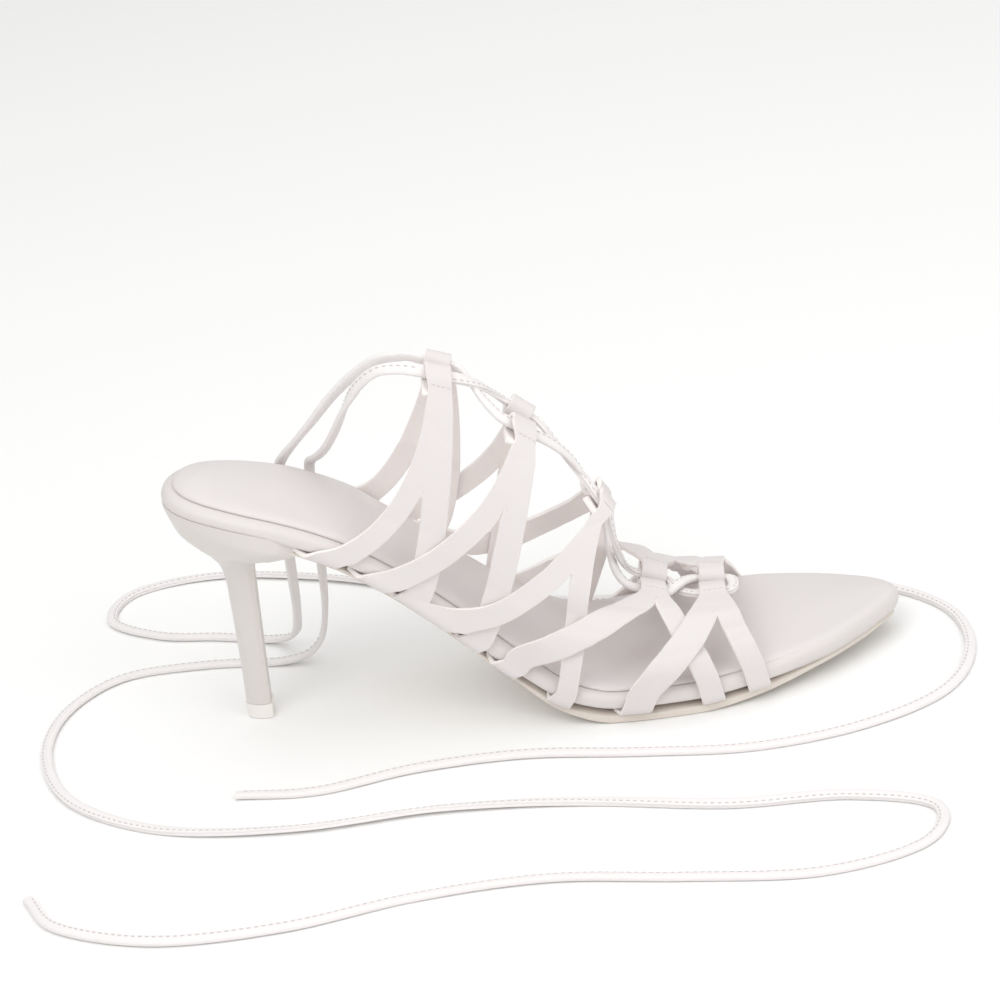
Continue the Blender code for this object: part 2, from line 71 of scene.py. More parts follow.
# The sole's edge and seat line: station from the heel, seat height, outer and inner half width
SOLE_ROWS = (
    (0.0, 89.9, 0.0, 0.0),
    (2.0, 89.6, 9.0, 9.2),
    (6.0, 88.9, 14.7, 15.2),
    (14.0, 87.3, 20.2, 20.6),
    (30.0, 83.2, 24.9, 24.6),
    (45.0, 77.8, 26.0, 26.0),
    (60.0, 70.0, 26.2, 26.0),
    (75.0, 59.0, 26.2, 24.0),
    (95.0, 40.8, 27.2, 22.6),
    (112.0, 24.6, 30.4, 25.0),
    (130.0, 12.4, 35.0, 31.0),
    (142.0, 9.9, 36.8, 34.6),
    (155.0, 9.9, 37.3, 36.8),
    (168.0, 9.9, 36.6, 38.0),
    (187.0, 11.2, 33.2, 37.6),
    (212.0, 13.2, 22.0, 31.0),
    (226.0, 14.0, 11.0, 24.5),
    (235.0, 14.5, 1.6, 18.8),
    (239.0, 14.7, -3.2, 14.6),
    (241.0, 14.8, -9.0, 9.0),
)
STATION, SEAT, OUTER, INNER = range(4)
# Steps along each side of the edge
STATIONS = 96

# Where the rim's section changes along the sole: heel seat to waist, waist to ball, ball to toe
SEAT_END, WAIST_START = 28.0, 42.0
WAIST_END, BALL_START = 112.0, 140.0
BALL_END, TOE_START = 170.0, 218.0

# Rim sections: inset at the heel seat, the waist, the ball and the toe, depth under the seat line,
# and how much deeper the row lies at the ball and at the toe
FOOTBED_RIM = (
    (9.0, 9.0, 9.0, 9.0, 0.5, 0.0, 0.0),
    (4.4, 4.4, 3.4, 3.0, 0.5, 0.0, 0.0),
    (3.0, 3.0, 2.3, 2.1, 0.62, 0.0, 0.0),
    (1.7, 1.7, 1.4, 1.3, 0.95, 0.0, 0.0),
    (0.7, 0.7, 0.6, 0.6, 1.6, 0.0, 0.0),
    (0.12, 0.12, 0.12, 0.12, 2.7, 0.0, 0.0),
    (0.0, 0.0, 0.0, 0.0, 4.0, 0.0, 0.0),
    (0.4, 0.1, 0.1, 0.1, 4.9, 0.0, 0.0),
    (2.4, 0.7, 0.7, 0.5, 6.0, 0.0, 0.0),
    (3.0, 4.8, 4.8, 0.9, 6.15, 0.0, 0.6),
    (3.0, 4.8, 4.8, 1.8, 7.5, 0.0, 0.3),
    (4.0, 6.0, 6.0, 4.0, 7.6, 0.0, 0.7),
)
PAD_RIM = (
    (12.0, 12.0, 10.4, 8.0, -1.75, 0.0, 1.55),
    (8.4, 8.4, 6.9, 5.0, -1.65, 0.0, 1.6),
    (6.2, 6.2, 4.8, 3.1, -1.4, 0.0, 1.55),
    (4.8, 4.8, 3.5, 2.2, -0.95, 0.0, 1.37),
    (4.0, 4.0, 2.8, 1.6, -0.3, 0.0, 1.1),
    (4.0, 4.0, 2.8, 1.3, 0.25, 0.0, 0.9),
    (4.7, 4.7, 3.5, 1.7, 0.75, 0.0, 0.65),
    (7.0, 7.0, 5.8, 3.6, 0.8, 0.0, 0.65),
)
OUTSOLE_RIM = (
    (4.0, 6.0, 4.2, 5.0, 8.4, 0.0, -0.4),
    (1.3, 3.3, 1.5, 2.6, 8.45, 0.0, -0.4),
    (0.9, 2.9, 1.1, 2.2, 8.7, 0.0, -0.3),
    (0.85, 2.85, 1.05, 2.1, 9.1, 0.75, 0.0),
    (0.95, 2.95, 1.15, 2.2, 9.6, 1.5, 0.0),
    (1.5, 3.5, 1.7, 2.8, 9.88, 1.5, 0.0),
    (4.0, 6.0, 4.2, 5.0, 9.9, 1.5, 0.0),
)
# The station of the heel's breast, where the outsole starts
BREAST = 44.4
# How far the pad's middle is crowned, the half width that is crowned in full, and the rings to the middle
PAD_CROWN = 0.9
CROWN_WIDE = 14.0
TOPS = 4

# The heel: back x and z, breast x and z, half width of each section from the seat to the tip
HEEL_ROWS = (
    (0.7, 88.0, 45.5, 80.0, 25.0),
    (1.0, 82.0, 44.0, 68.8, 25.0),
    (1.9, 75.0, 34.5, 64.5, 20.0),
    (6.8, 67.5, 29.5, 61.9, 13.4),
    (12.0, 61.5, 27.0, 59.6, 8.2),
    (15.0, 56.4, 26.0, 56.2, 5.7),
    (15.9, 48.0, 25.6, 48.0, 4.9),
    (15.8, 25.0, 24.6, 25.0, 4.4),
    (15.3, 4.2, 23.8, 4.2, 4.1),
)
TIP_ROWS = (
    (15.0, 4.1, 24.1, 4.1, 4.35),
    (14.9, 3.7, 24.2, 3.7, 4.4),
    (15.0, 1.2, 24.1, 1.2, 4.35),
    (15.1, -1.0, 24.0, -1.0, 4.3),
    (15.6, -1.5, 23.5, -1.5, 3.9),
)
# The heel cover's top edge: depth under the seat line, inset from the rand, how far its flare reaches down
# and where it leaves the rand at the breast
HEEL_TOP_DEPTH = 4.75
HEEL_INSET = 0.12
HEEL_FLARE = 0.22
HEEL_LEAVES = 0.8
# The heel's mesh: points a side, bunched to the back, levels, rings of the end caps, the rows that the seat
# may cut away and the steps that find the cut
HEEL_SIDE_POINTS = 26
HEEL_BUNCH = 1.5
HEEL_LEVELS, TIP_LEVELS = 64, 12
CAPS = 2
CUT_MOST = 2.5
HALVINGS = 30
# The heel's section: where it is widest, where its breast begins and how much that draws in, and its middle
HEEL_WIDEST = 0.8
BREAST_FROM, BREAST_IN = 0.82, 0.12
HEEL_MIDDLE = -0.2

# The straps of each side: where the strap meets its loop (x, z, and y from the middle), slope of the
# crown, fullness, then foot x, sweep and width of the rear leg and of the front leg, and half the width
# of the tab at the loop
OUTER_STRAPS = (
    (99.5, 120.0, 6.2, -0.55, 1.70, 58.4, 1.99, 7.4, 82.8, 1.80, 9.0, 4.3),
    (124.3, 98.8, 8.2, -1.00, 1.82, 74.0, 1.91, 7.8, 101.5, 1.68, 8.6, 4.2),
    (146.2, 67.2, 5.4, -1.15, 1.60, 90.5, 1.82, 7.6, 127.0, 0.89, 6.9, 3.7),
    (158.3, 33.4, 5.9, -0.34, 3.30, 112.2, 1.37, 8.8, 173.2, 0.86, 7.7, 4.3),
    (177.7, 30.2, 6.0, -0.03, 2.90, 149.8, 1.70, 9.6, 188.6, 0.98, 7.8, 4.3),
)
INNER_STRAPS = (
    (99.5, 120.0, 6.2, -0.55, 1.55, 64.8, 1.51, 7.4, 85.0, 2.60, 9.0, 4.3),
    (124.3, 98.8, 8.2, -1.05, 1.95, 77.0, 2.14, 7.8, 107.0, 1.45, 8.6, 4.2),
    (145.0, 66.6, 5.4, -1.40, 1.50, 85.0, 2.40, 8.2, 132.0, 2.40, 7.2, 3.7),
    (159.3, 32.6, 5.9, -0.45, 2.35, 112.5, 1.60, 9.2, 174.0, 0.90, 7.7, 4.3),
    (178.2, 29.6, 6.0, -0.12, 1.60, 147.0, 1.05, 8.8, 185.5, 1.30, 7.6, 4.3),
)
STRAPS = {LATERAL: OUTER_STRAPS, MEDIAL: INNER_STRAPS}
LOOP_X, LOOP_Z, THROAT, CROWN, FULLNESS = range(5)
REAR = slice(5, 8)
FRONT = slice(8, 11)
TAB = 11
# Levels run from 0 at the rim to 1 at the loop. From this one on the legs turn into the tab
TAB_START = 0.78
# The strap's inner face round the rim: outward of the edge and depth under the seat line
WRAP_ROWS = (
    (-3.6, 6.5),
    (-2.4, 6.5),
    (-1.2, 6.5),
    (-0.4, 6.4),
    (0.1, 6.0),
    (0.4, 5.2),
    (0.45, 4.2),
    (0.45, 3.2),
)
WRAPS = len(WRAP_ROWS) - 1
WRAP_STEPS = [math.dist(a, b) for a, b in zip(WRAP_ROWS, WRAP_ROWS[1:])]
WRAP_REACH = [sum(WRAP_STEPS[i:]) for i in range(WRAPS)]
# How much a leg runs along the shoe as it turns under: taken near its foot, and at most this much
LEAN_LEVEL = 0.06
LEAN_MOST = 1.4
# A slanting leg is wider along the shoe: the levels that its slant is taken over, and the most it widens
SLANT_SPAN = 0.03
SLANT_MOST = 1.9
# A strap's mesh: levels from the rim to the loop, and columns across each leg
STRAP_LEVELS = 44
LEVELS = [i / STRAP_LEVELS for i in range(STRAP_LEVELS + 1)]
STRAP_COLUMNS = 8
# A strap's cut edges: how far they are rounded and from which angle; and a level where its face is plain
STRAP_ROUND = 0.55
STRAP_CORNER = 50.0
SHIN = 0.2
# Where a rear leg passes over the front leg behind it: the most that it rides out, the gap, how far the two
# may lie apart before, the fades along the lower and the upper leg, how far up the upper one lies tilted, and
# where it starts to come back
CROSS_MOST = 2.0
CROSS_GAP = 0.15
CROSS_FURTHEST = 4.0
CROSS_FADE = 0.16
RIDE_FADE = 0.28
RIDE_TILT = 0.22
RIDE_END = 0.6
# The fold over the lace: its steps, the tab's tail behind the strap and the slack between the layers
FOLD_STEPS = 10
TAIL_STEPS = 4
TAB_TAIL = 8.0
FOLD_SLACK = 0.1
# The loop's tunnel: its bore, the leather round it, how far the strap's face stands off, half its length, and
# the stretches of strap that give its direction
LOOP_BORE = 2.1
LOOP_WALL = 1.6
LOOP_STANDS = 1.5
LOOP_REACH = 5.0
LOOP_SPAN = 3.0
LOOP_BELOW = 0.95
# The loop's outer look: how tall its tunnel stands, how far it bulges, where its stitches draw in a neck, and
# by how much in each pair
LOOP_TALL = 5.5
LOOP_BULGE = 0.7
NECK_AT, NECK_HALF = 7.0, 5.0
NECK_IN = (0.08, 0.2, 0.1, 0.0, 0.0)
# How far each pair's loops are turned by the pull of the lace, in degrees, and where that turn begins
LOOP_TWIST = (12.0, 11.0, -28.0, 0.0, 0.0)
TWIST_START = 0.72
# Soft folds across the straps: side, strap, level, slant, depth and half width
CREASES = (
    (LATERAL, 0, 0.30, 0.05, 0.30, 2.2),
    (LATERAL, 0, 0.70, -0.04, 0.25, 2.6),
    (LATERAL, 1, 0.22, 0.06, 0.35, 2.4),
    (LATERAL, 1, 0.79, 0.04, 0.35, 1.8),
    (LATERAL, 2, 0.34, 0.06, 0.30, 2.4),
    (LATERAL, 2, 0.76, 0.10, 0.45, 2.0),
    (LATERAL, 2, 0.84, 0.08, 0.40, 1.7),
    (LATERAL, 3, 0.40, -0.05, 0.35, 2.2),
    (LATERAL, 3, 0.70, 0.05, 0.35, 1.8),
    (LATERAL, 4, 0.35, 0.05, 0.30, 2.0),
    (LATERAL, 4, 0.72, -0.04, 0.30, 1.8),
    (MEDIAL, 0, 0.45, 0.05, 0.30, 2.6),
    (MEDIAL, 1, 0.50, -0.05, 0.30, 2.4),
    (MEDIAL, 2, 0.60, 0.06, 0.35, 2.2),
    (MEDIAL, 3, 0.55, 0.05, 0.30, 2.0),
    (MEDIAL, 4, 0.50, -0.05, 0.30, 2.0),
)
# How far each strand of a crossing lies above or under the other
CROSS_RISE = 1.15
# How much the strands below each pair of loops bow, the bight last
STRAND_BOW = (0.8, 0.8, 0.8, 0.35, 0.8)
# The lace hangs down between the third and the fourth pair of loops
HANGING = {2, 3}
HANG = Vector((0.0, 0.0, -1.8))

# The lace's section: a leather strip folded in two, round at the fold and open at its stitched edge
LACE_UPPER = (
    (-1.0, 0.0),
    (-0.94, 0.52),
    (-0.72, 0.86),
    (-0.25, 1.0),
    (0.3, 0.96),
    (0.72, 0.9),
    (0.96, 0.72),
    (1.0, 0.36),
    (0.86, 0.0),
)
LACE_SECTION = LACE_UPPER + tuple((across, -up) for across, up in LACE_UPPER[-2:0:-1])
# The lace's points inside a loop, as shares of half its length, its steps between loops, its step along a tie
# and the points that draw each stretch of a tie's curve
LOOP_SHARES = (-1.0, -0.5, 0.0, 0.5, 1.0)
STRAND_STEPS = 20
TIE_STEP = 1.9
CURVE_STEPS = 24
# Stitches: their pitch, where they lie across the lace, how deep they sit, where a row starts and stops, the
# length and thickness of each, the places across a loop, and how far off its face these are looked for
STITCH_PITCH = 2.3
STITCH_ACROSS = 0.5
STITCH_SINK = 0.94
TIE_STITCH_START, LACING_STITCH_START = 8.0, 6.0
STITCH_STOP = 1.5
TIE_STITCH = (1.5, 0.55)
LACING_STITCH = (1.5, 0.5)
LOOP_STITCH = (1.4, 0.42)
LOOP_STITCHES = (-0.6, -0.2, 0.2, 0.6)
STITCH_PROBE = 3.0

# Routes of the free ends after the rear loops: x, y and z over the seat's edge, then x and y along the floor
LATERAL_FALL = (
    (84.6, -5.2, 122.5),
    (77.4, -3.4, 121.9),
    (70.6, -0.2, 116.6),
    (64.6, 4.8, 107.2),
    (59.6, 10.2, 97.0),
    (54.8, 15.8, 88.2),
    (50.6, 20.8, 82.8),
    (47.8, 25.4, 79.6),
    (46.7, 28.6, 74.4),
    (46.2, 29.2, 64.0),
    (45.4, 29.6, 44.0),
    (43.8, 30.6, 20.0),
    (39.0, 32.4, 5.4),
)
LATERAL_FLOOR = (
    (27.0, 33.4),
    (-3.0, 38.0),
    (-32.0, 35.0),
    (-50.0, 13.0),
    (-53.0, -18.0),
    (-40.0, -50.0),
    (-8.0, -73.0),
    (36.0, -82.0),
    (82.0, -80.0),
    (128.0, -85.0),
    (174.0, -97.0),
    (212.0, -100.0),
    (239.0, -112.0),
    (233.0, -133.0),
    (200.0, -143.0),
    (158.0, -137.0),
    (116.0, -129.0),
    (74.0, -131.0),
    (34.0, -140.0),
    (-6.0, -140.0),
    (-38.0, -126.0),
    (-50.0, -106.0),
)
MEDIAL_FALL = (
    (84.6, 5.6, 122.4),
    (76.8, 7.6, 121.2),
    (68.0, 10.4, 115.4),
    (59.2, 13.8, 107.0),
    (51.2, 17.2, 97.4),
    (44.2, 20.6, 89.2),
    (39.4, 24.2, 83.2),
    (36.8, 27.6, 78.0),
    (35.8, 29.0, 70.0),
    (35.2, 29.6, 58.0),
    (34.4, 31.4, 38.0),
    (33.2, 36.0, 17.0),
    (29.8, 43.0, 5.0),
)
MEDIAL_FLOOR = (
    (20.0, 51.0),
    (2.0, 58.0),
    (-20.0, 64.0),
    (-39.0, 80.0),
    (-32.0, 101.0),
    (-2.0, 107.0),
    (38.0, 95.0),
    (74.0, 77.0),
    (108.0, 61.0),
    (140.0, 51.5),
    (176.0, 49.0),
    (210.0, 46.5),
    (240.0, 36.0),
    (259.0, 14.0),
    (262.0, -15.0),
    (250.0, -41.0),
    (222.0, -57.0),
    (186.0, -63.0),
    (148.0, -58.0),
    (110.0, -51.0),
    (74.0, -52.0),
    (42.0, -59.0),
    (14.0, -56.0),
)
# The height of the floor routes, before the ties settle
ROUTE_FLOOR = 0.2
TIE_ROUTES = {
    LATERAL: LATERAL_FALL + tuple((x, y, ROUTE_FLOOR) for x, y in LATERAL_FLOOR),
    MEDIAL: MEDIAL_FALL + tuple((x, y, ROUTE_FLOOR) for x, y in MEDIAL_FLOOR),
}
# How a tie's flat face turns as it falls: height, then the direction it faces
TIE_FACING = ((90.0, (-0.3, 0.4, 0.86)), (80.0, (0.0, 0.6, 0.8)), (70.0, (0.0, 1.0, 0.0)))
# Heights where it faces as its loop does, where it turns to its landing and where it lies flat
LOOP_HEIGHT = 120.0
LANDING_HEIGHT = 18.0
FLOOR_HEIGHT = 0.8
# How a tie leaves its loop and lands: its straight start, and the steps that give its direction on the floor
TIE_LEAD = 5.0
LANDING_STEPS = 3
# How a tie rolls as it lies: the most in radians, two lengths of its waves, where the roll sets in, how soon
# the tie settles and its gap to the floor
ROLL_MOST = 0.42
ROLL_SHORT, ROLL_LONG = 47.0, 173.0
ROLL_START = 40.0
SETTLE = 12.0
FLOOR_GAP = 0.03

# The photograph's camera: turn, height and roll in degrees, scale and centre in pixels
VIEW_TURN, VIEW_HEIGHT, VIEW_ROLL = 2.5248, 26.7973, 7.9152
VIEW_SCALE, VIEW_U, VIEW_V = 2.97139, 535.065, 559.332
VIEW_DISTANCE = 1200.0
VIEW_TARGET = Vector((120.0, 0.0, 45.0))
PICTURE = 1000.0
SENSOR = 36.0

# The stage: the floor's size, the soft lights with place and size in metres and power in watts, and the sky
FLOOR_SIZE = 8.0
LIGHTS = (
    ("key", (-0.5, -0.9, 1.3), 1.1, 8.8),
    ("top", (0.1, 0.3, 1.6), 1.6, 7.0),
    ("fill", (1.0, -0.8, 0.9), 1.2, 6.2),
)
SKY_STRENGTH = 0.6


def linear(hexcode):
    """An sRGB hex colour as linear numbers."""
    parts = [int(hexcode[i : i + 2], 16) / 255 for i in (0, 2, 4)]
    return [((c + 0.055) / 1.055) ** 2.4 if c > 0.04045 else c / 12.92 for c in parts]


def measure(name, description, default):
    """A size in metres that a maker would change."""
    return FloatProperty(name=name, description=description, default=default, unit="LENGTH", precision=4)


def tint(name, description, hexcode):
    """A colour that a maker would change."""
    default = linear(hexcode)
    return FloatVectorProperty(name=name, description=description, default=default, subtype="COLOR")


class SandalSizes(bpy.types.PropertyGroup):
    """Sizes of the sandal's leather."""

    strap_wall: measure("Strap wall", "Thickness of the folded straps", 0.0016)
    lace_width: measure("Lace width", "Width of the folded lace", 0.0037)
    lace_wall: measure("Lace thickness", "Thickness of the folded lace", 0.0021)


class SandalColours(bpy.types.PropertyGroup):
    """Colours of the sandal's materials and of the stage. The lining, footbed wrap and heel cover are
    darkened with painted shade.
    """

    upper: tint("Straps", "White nappa leather", "F6F0ED")
    # Lining: the lining leather's own greyer tone, darkened further with painted shade for the straps' inner
    # faces
    lining: tint("Lining", "Lining leather", "DED8D7")
    # Footbed wrap: the rand's leather darkened with painted shade, to hold back the stronger light that falls
    # on the rand
    wrap: tint("Footbed", "Footbed wrap leather", "DAD4D2")
    sock: tint("Insole", "Insole leather", "DBD5D4")
    sole: tint("Outsole", "Tan sole leather", "E2D9CF")
    # Heel cover: the cover leather darkened with painted shade, for the cup that turns down away from the
    # light
    heel: tint("Heel cover", "Heel cover leather", "DAD4D0")
    tip: tint("Heel tip", "Top piece", "F2EEE9")
    lace: tint("Lace", "Lace leather", "EDE9E8")
    thread: tint("Thread", "Sewing thread", "D6D1CF")
    floor: tint("Floor", "Studio floor", "F7F7F6")


def curve(t, start, leave, stop, arrive):
    """A point between two ends of a curve that leaves and arrives on given slopes."""
    near = (1 + 2 * t) * (1 - t) ** 2 * start + t * (1 - t) ** 2 * leave
    return near + t * t * (3 - 2 * t) * stop + t * t * (t - 1) * arrive


def smooth_rows(xs, ys, at):
    """A smooth curve through rows that never overshoots them."""
    xs = np.asarray(xs, float)
    ys = np.asarray(ys, float)
    gaps = np.diff(xs)
    rises = np.diff(ys) / gaps
    slopes = np.zeros(len(xs))
    slopes[0] = rises[0]
    slopes[-1] = rises[-1]
    for i in range(1, len(xs) - 1):
        if rises[i - 1] * rises[i] > 0:
            near = 2 * gaps[i] + gaps[i - 1]
            far = gaps[i] + 2 * gaps[i - 1]
            slopes[i] = (near + far) / (near / rises[i - 1] + far / rises[i])
    at = min(max(at, xs[0]), xs[-1])
    i = min(int(np.searchsorted(xs, at, side="right")) - 1, len(xs) - 2)
    t = (at - xs[i]) / gaps[i]
    return float(curve(t, ys[i], gaps[i] * slopes[i], ys[i + 1], gaps[i] * slopes[i + 1]))


def turn_at(x):
    """The angle that goes with a station, so that the ends of the outline come out round."""
    return math.acos(min(max(1 - 2 * x / SOLE_LENGTH, -1.0), 1.0))


SOLE_COLUMNS = list(zip(*SOLE_ROWS))
SOLE_TURN = [turn_at(x) for x in SOLE_COLUMNS[STATION]]


def seat(x):
    """Height of the seat line at a station."""
    return smooth_rows(SOLE_COLUMNS[STATION], SOLE_COLUMNS[SEAT], x)


def square_to_seat(x):
    """The way up, square to the seat line at a station."""
    fall = (seat(x + 1.0) - seat(x - 1.0)) / 2
    return Vector((-fall, 0.0, 1.0)).normalized()


def edge(side, turn):
    """Plan point of the sole's edge."""
    wide = smooth_rows(SOLE_TURN, SOLE_COLUMNS[OUTER if side == LATERAL else INNER], turn)
    return Vector((SOLE_LENGTH * (1 - math.cos(turn)) / 2, side * wide))


@functools.lru_cache(maxsize=None)
def rim(side, turn, out, depth):
    """A point outward of the sole's edge and square under the seat line."""
    step = 0.004
    here = edge(side, turn)
    along = edge(side, min(turn + step, math.pi)) - edge(side, max(turn - step, 0.0))
    if turn < step or turn > math.pi - step:
        along.x = 0.0
    along.normalize()
    outward = Vector((-side * along.y, side * along.x))
    point = Vector((here.x + out * outward.x, here.y + out * outward.y, seat(here.x)))
    return point - depth * square_to_seat(here.x)


def blend(low, high, at):
    """A soft step from 0 to 1."""
    t = min(max((at - low) / (high - low), 0.0), 1.0)
    return t * t * (3 - 2 * t)


def rim_row(row, x):
    """Inset and depth of a rim row at a station."""
    at_seat, at_waist, at_ball, at_toe, depth, ball_deeper, toe_deeper = row
    waist = blend(SEAT_END, WAIST_START, x)
    ball = blend(WAIST_END, BALL_START, x)
    toe = blend(BALL_END, TOE_START, x)
    inset = at_seat + (at_waist - at_seat) * waist + (at_ball - at_waist) * ball + (at_toe - at_ball) * toe
    return inset, depth + ball_deeper * (ball - toe) + toe_deeper * toe


def strap_point(row, side, x, level, ride):
    """The strap's inner face: the last's form from the rim (level 0) up to the throat (level 1)."""
    foot = rim(side, turn_at(x), *WRAP_ROWS[-1])
    loop_foot = rim(side, turn_at(row[LOOP_X]), *WRAP_ROWS[-1])
    power = 2 / row[FULLNESS]
    top = math.acos((row[THROAT] / abs(loop_foot.y)) ** (1 / power))
    peak = loop_foot.z + (row[LOOP_Z] - loop_foot.z) / math.sin(top) ** power
    crown = peak + row[CROWN] * (foot.x - loop_foot.x)
    swing = top * level
    wide = foot.y * math.cos(swing) ** power
    high = foot.z + (crown - foot.z) * math.sin(swing) ** power
    outward = Vector((0.0, side * math.cos(swing), math.sin(swing)))
    return Vector((foot.x, wide, high)) + ride * outward


def leg_line(row, foot, sweep, level):
    """Station of a leg's middle at a level."""
    return row[LOOP_X] + (foot - row[LOOP_X]) * (1 - level) ** sweep


def leg_half(row, side, foot, sweep, width, level):
    """Half the leg's width, measured along the shoe, so that the leg keeps its width on the slant."""
    low, high = max(level - SLANT_SPAN, 0.0), min(level + SLANT_SPAN, 1.0)
    start = strap_point(row, side, leg_line(row, foot, sweep, low), low, 0.0)
    end = strap_point(row, side, leg_line(row, foot, sweep, high), high, 0.0)
    middle = leg_line(row, foot, sweep, level)
    rear = strap_point(row, side, middle - 1.0, level, 0.0)
    fore = strap_point(row, side, middle + 1.0, level, 0.0)
    slant = (end - start).length / ((fore - rear) / 2).cross(end - start).length
    return width / 2 * min(slant, SLANT_MOST)


def leg_lean(row, side, foot, sweep):
    """How far a leg runs along the shoe for each millimetre that it turns under the rim."""
    rise = strap_point(row, side, foot, LEAN_LEVEL, 0.0) - strap_point(row, side, foot, 0.0, 0.0)
    run = leg_line(row, foot, sweep, LEAN_LEVEL) - foot
    return min(max(run / rise.length, -LEAN_MOST), LEAN_MOST)


def loop_frame(row, side, twisted=True):
    """Centre of a loop's tunnel, its axis towards the toe, the outward direction and the way up."""
    here = strap_point(row, side, row[LOOP_X], 1.0, 0.0)
    fore = strap_point(row, side, row[LOOP_X] + LOOP_SPAN, 1.0, 0.0)
    rear = strap_point(row, side, row[LOOP_X] - LOOP_SPAN, 1.0, 0.0)
    below = strap_point(row, side, row[LOOP_X], LOOP_BELOW, 0.0)
    axis = (fore - rear).normalized()
    outward = axis.cross(here - below).normalized()
    if outward.z < 0:
        outward = -outward
    up = outward.cross(axis)
    if up.dot(here - below) < 0:
        up = -up
    if twisted:
        twist = math.radians(LOOP_TWIST[STRAPS[side].index(row)])
        ahead, above = axis, up
        axis = ahead * math.cos(twist) + above * math.sin(twist)
        up = above * math.cos(twist) - ahead * math.sin(twist)
    return here + outward * (LOOP_STANDS - LOOP_BORE - LOOP_WALL), axis, outward, up


def strap_spans(row, side, level):
    """Stations of the edges of both legs at a level, and whether the legs are joined there."""
    _, axis, _, _ = loop_frame(row, side, twisted=False)
    spans = []
    for foot, sweep, width in (row[REAR], row[FRONT]):
        middle = leg_line(row, foot, sweep, level)
        half = leg_half(row, side, foot, sweep, width, level)
        spans.append([middle - half, middle + half])
    near = blend(TAB_START, 1.0, level)
    spans[0][0] += (row[LOOP_X] - row[TAB] * axis.x - spans[0][0]) * near
    spans[1][1] += (row[LOOP_X] + row[TAB] * axis.x - spans[1][1]) * near
    joined = spans[0][1] >= spans[1][0]
    if joined:
        spans[0][1] = spans[1][0] = (spans[0][1] + spans[1][0]) / 2
    return spans, joined


def reaches(points):
    """How far along a line each of its points lies."""
    reach = [0.0]
    for a, b in zip(points, points[1:]):
        reach.append(reach[-1] + (b - a).length)
    return reach


def below_loop(row, side):
    """How far each level lies under the loop, along the strap."""
    points = [strap_point(row, side, row[LOOP_X], level, 0.0) for level in LEVELS]
    return reaches(points[::-1])[::-1]


def crease_depth(index, side, level, across, length):
    """How deep the strap's soft folds lie at a point."""
    depth = 0.0
    for fold_side, fold_index, at, slant, deep, half in CREASES:
        if (fold_side, fold_index) == (side, index):
            depth += deep * math.exp(-(((level - at - slant * across) * length / half) ** 2))
    return depth


def crossing(index, side, wall):
    """Where a strap passes over the front leg behind it: its level, the leg's level and the lift needed."""
    row, behind = STRAPS[side][index], STRAPS[side][index - 1]
    found = []
    for level in LEVELS:
        spans, joined = strap_spans(row, side, level)
        outer = spans[joined][1]
        for x in (spans[0][0], (spans[0][0] + outer) / 2, outer):
            here = strap_point(row, side, x, level, 0.0)
            outward = strap_point(row, side, x, level, 1.0) - here
            near = min(LEVELS, key=lambda k: (strap_point(behind, side, x, k, 0.0) - here).length)
            low, high = strap_spans(behind, side, near)[0][1]
            over = (strap_point(behind, side, x, near, 0.0) - here).dot(outward)
            if low < x < high and over < CROSS_FURTHEST:
                found.append((level, near, max(over + wall + CROSS_GAP, 0.0)))
    return found


def faded(pairs, fade):
    """Amounts at their levels, faded out along the strap."""
    amounts = []
    for level in LEVELS:
        near = [much * (1 - blend(0.0, fade, abs(level - at))) for at, much in pairs]
        amounts.append(max(near, default=0.0))
    return amounts


def between(at, stops, vectors):
    """Coordinates at places between the stops that vectors are given for."""
    return [np.interp(at, stops, [v[k] for v in vectors]) for k in range(3)]


def through(points, step):
    """Even steps along a smooth curve through a route's own points."""
    route = [2 * points[0] - points[1]] + list(points) + [2 * points[-1] - points[-2]]
    fine = []
    for i in range(1, len(route) - 2):
        a, b, c, d = route[i - 1 : i + 3]
        for k in range(CURVE_STEPS):
            t = k / CURVE_STEPS
            point = 2 * b + (c - a) * t
            point += (2 * a - 5 * b + 4 * c - d) * t * t
            point += (3 * b - a - 3 * c + d) * t ** 3
            fine.append(point / 2)
    fine.append(points[-1])
    reach = reaches(fine)
    wanted = np.linspace(0.0, reach[-1], int(reach[-1] / step) + 1)
    return [Vector(p) for p in zip(*between(wanted, reach, fine))]


def feed(tree, made, inputs):
    """Fills a node's inputs: each is a value or the socket that feeds it."""
    for key, value in inputs.items():
        if isinstance(value, bpy.types.NodeSocket):
            tree.links.new(value, made.inputs[key])
        else:
            made.inputs[key].default_value = value


def node(tree, kind, inputs, **settings):
    """Adds a node with its settings and its inputs."""
    made = tree.nodes.new(kind)
    for key, value in settings.items():
        setattr(made, key, value)
    feed(tree, made, inputs)
    return made


def per_metre(size_mm):
    """A texture's scale for a pattern of this size."""
    return 1.0 / (size_mm * MM)


def shade(colour, by):
    """A colour made darker or lighter."""
    return (*[min(c * by, 1.0) for c in colour], 1.0)


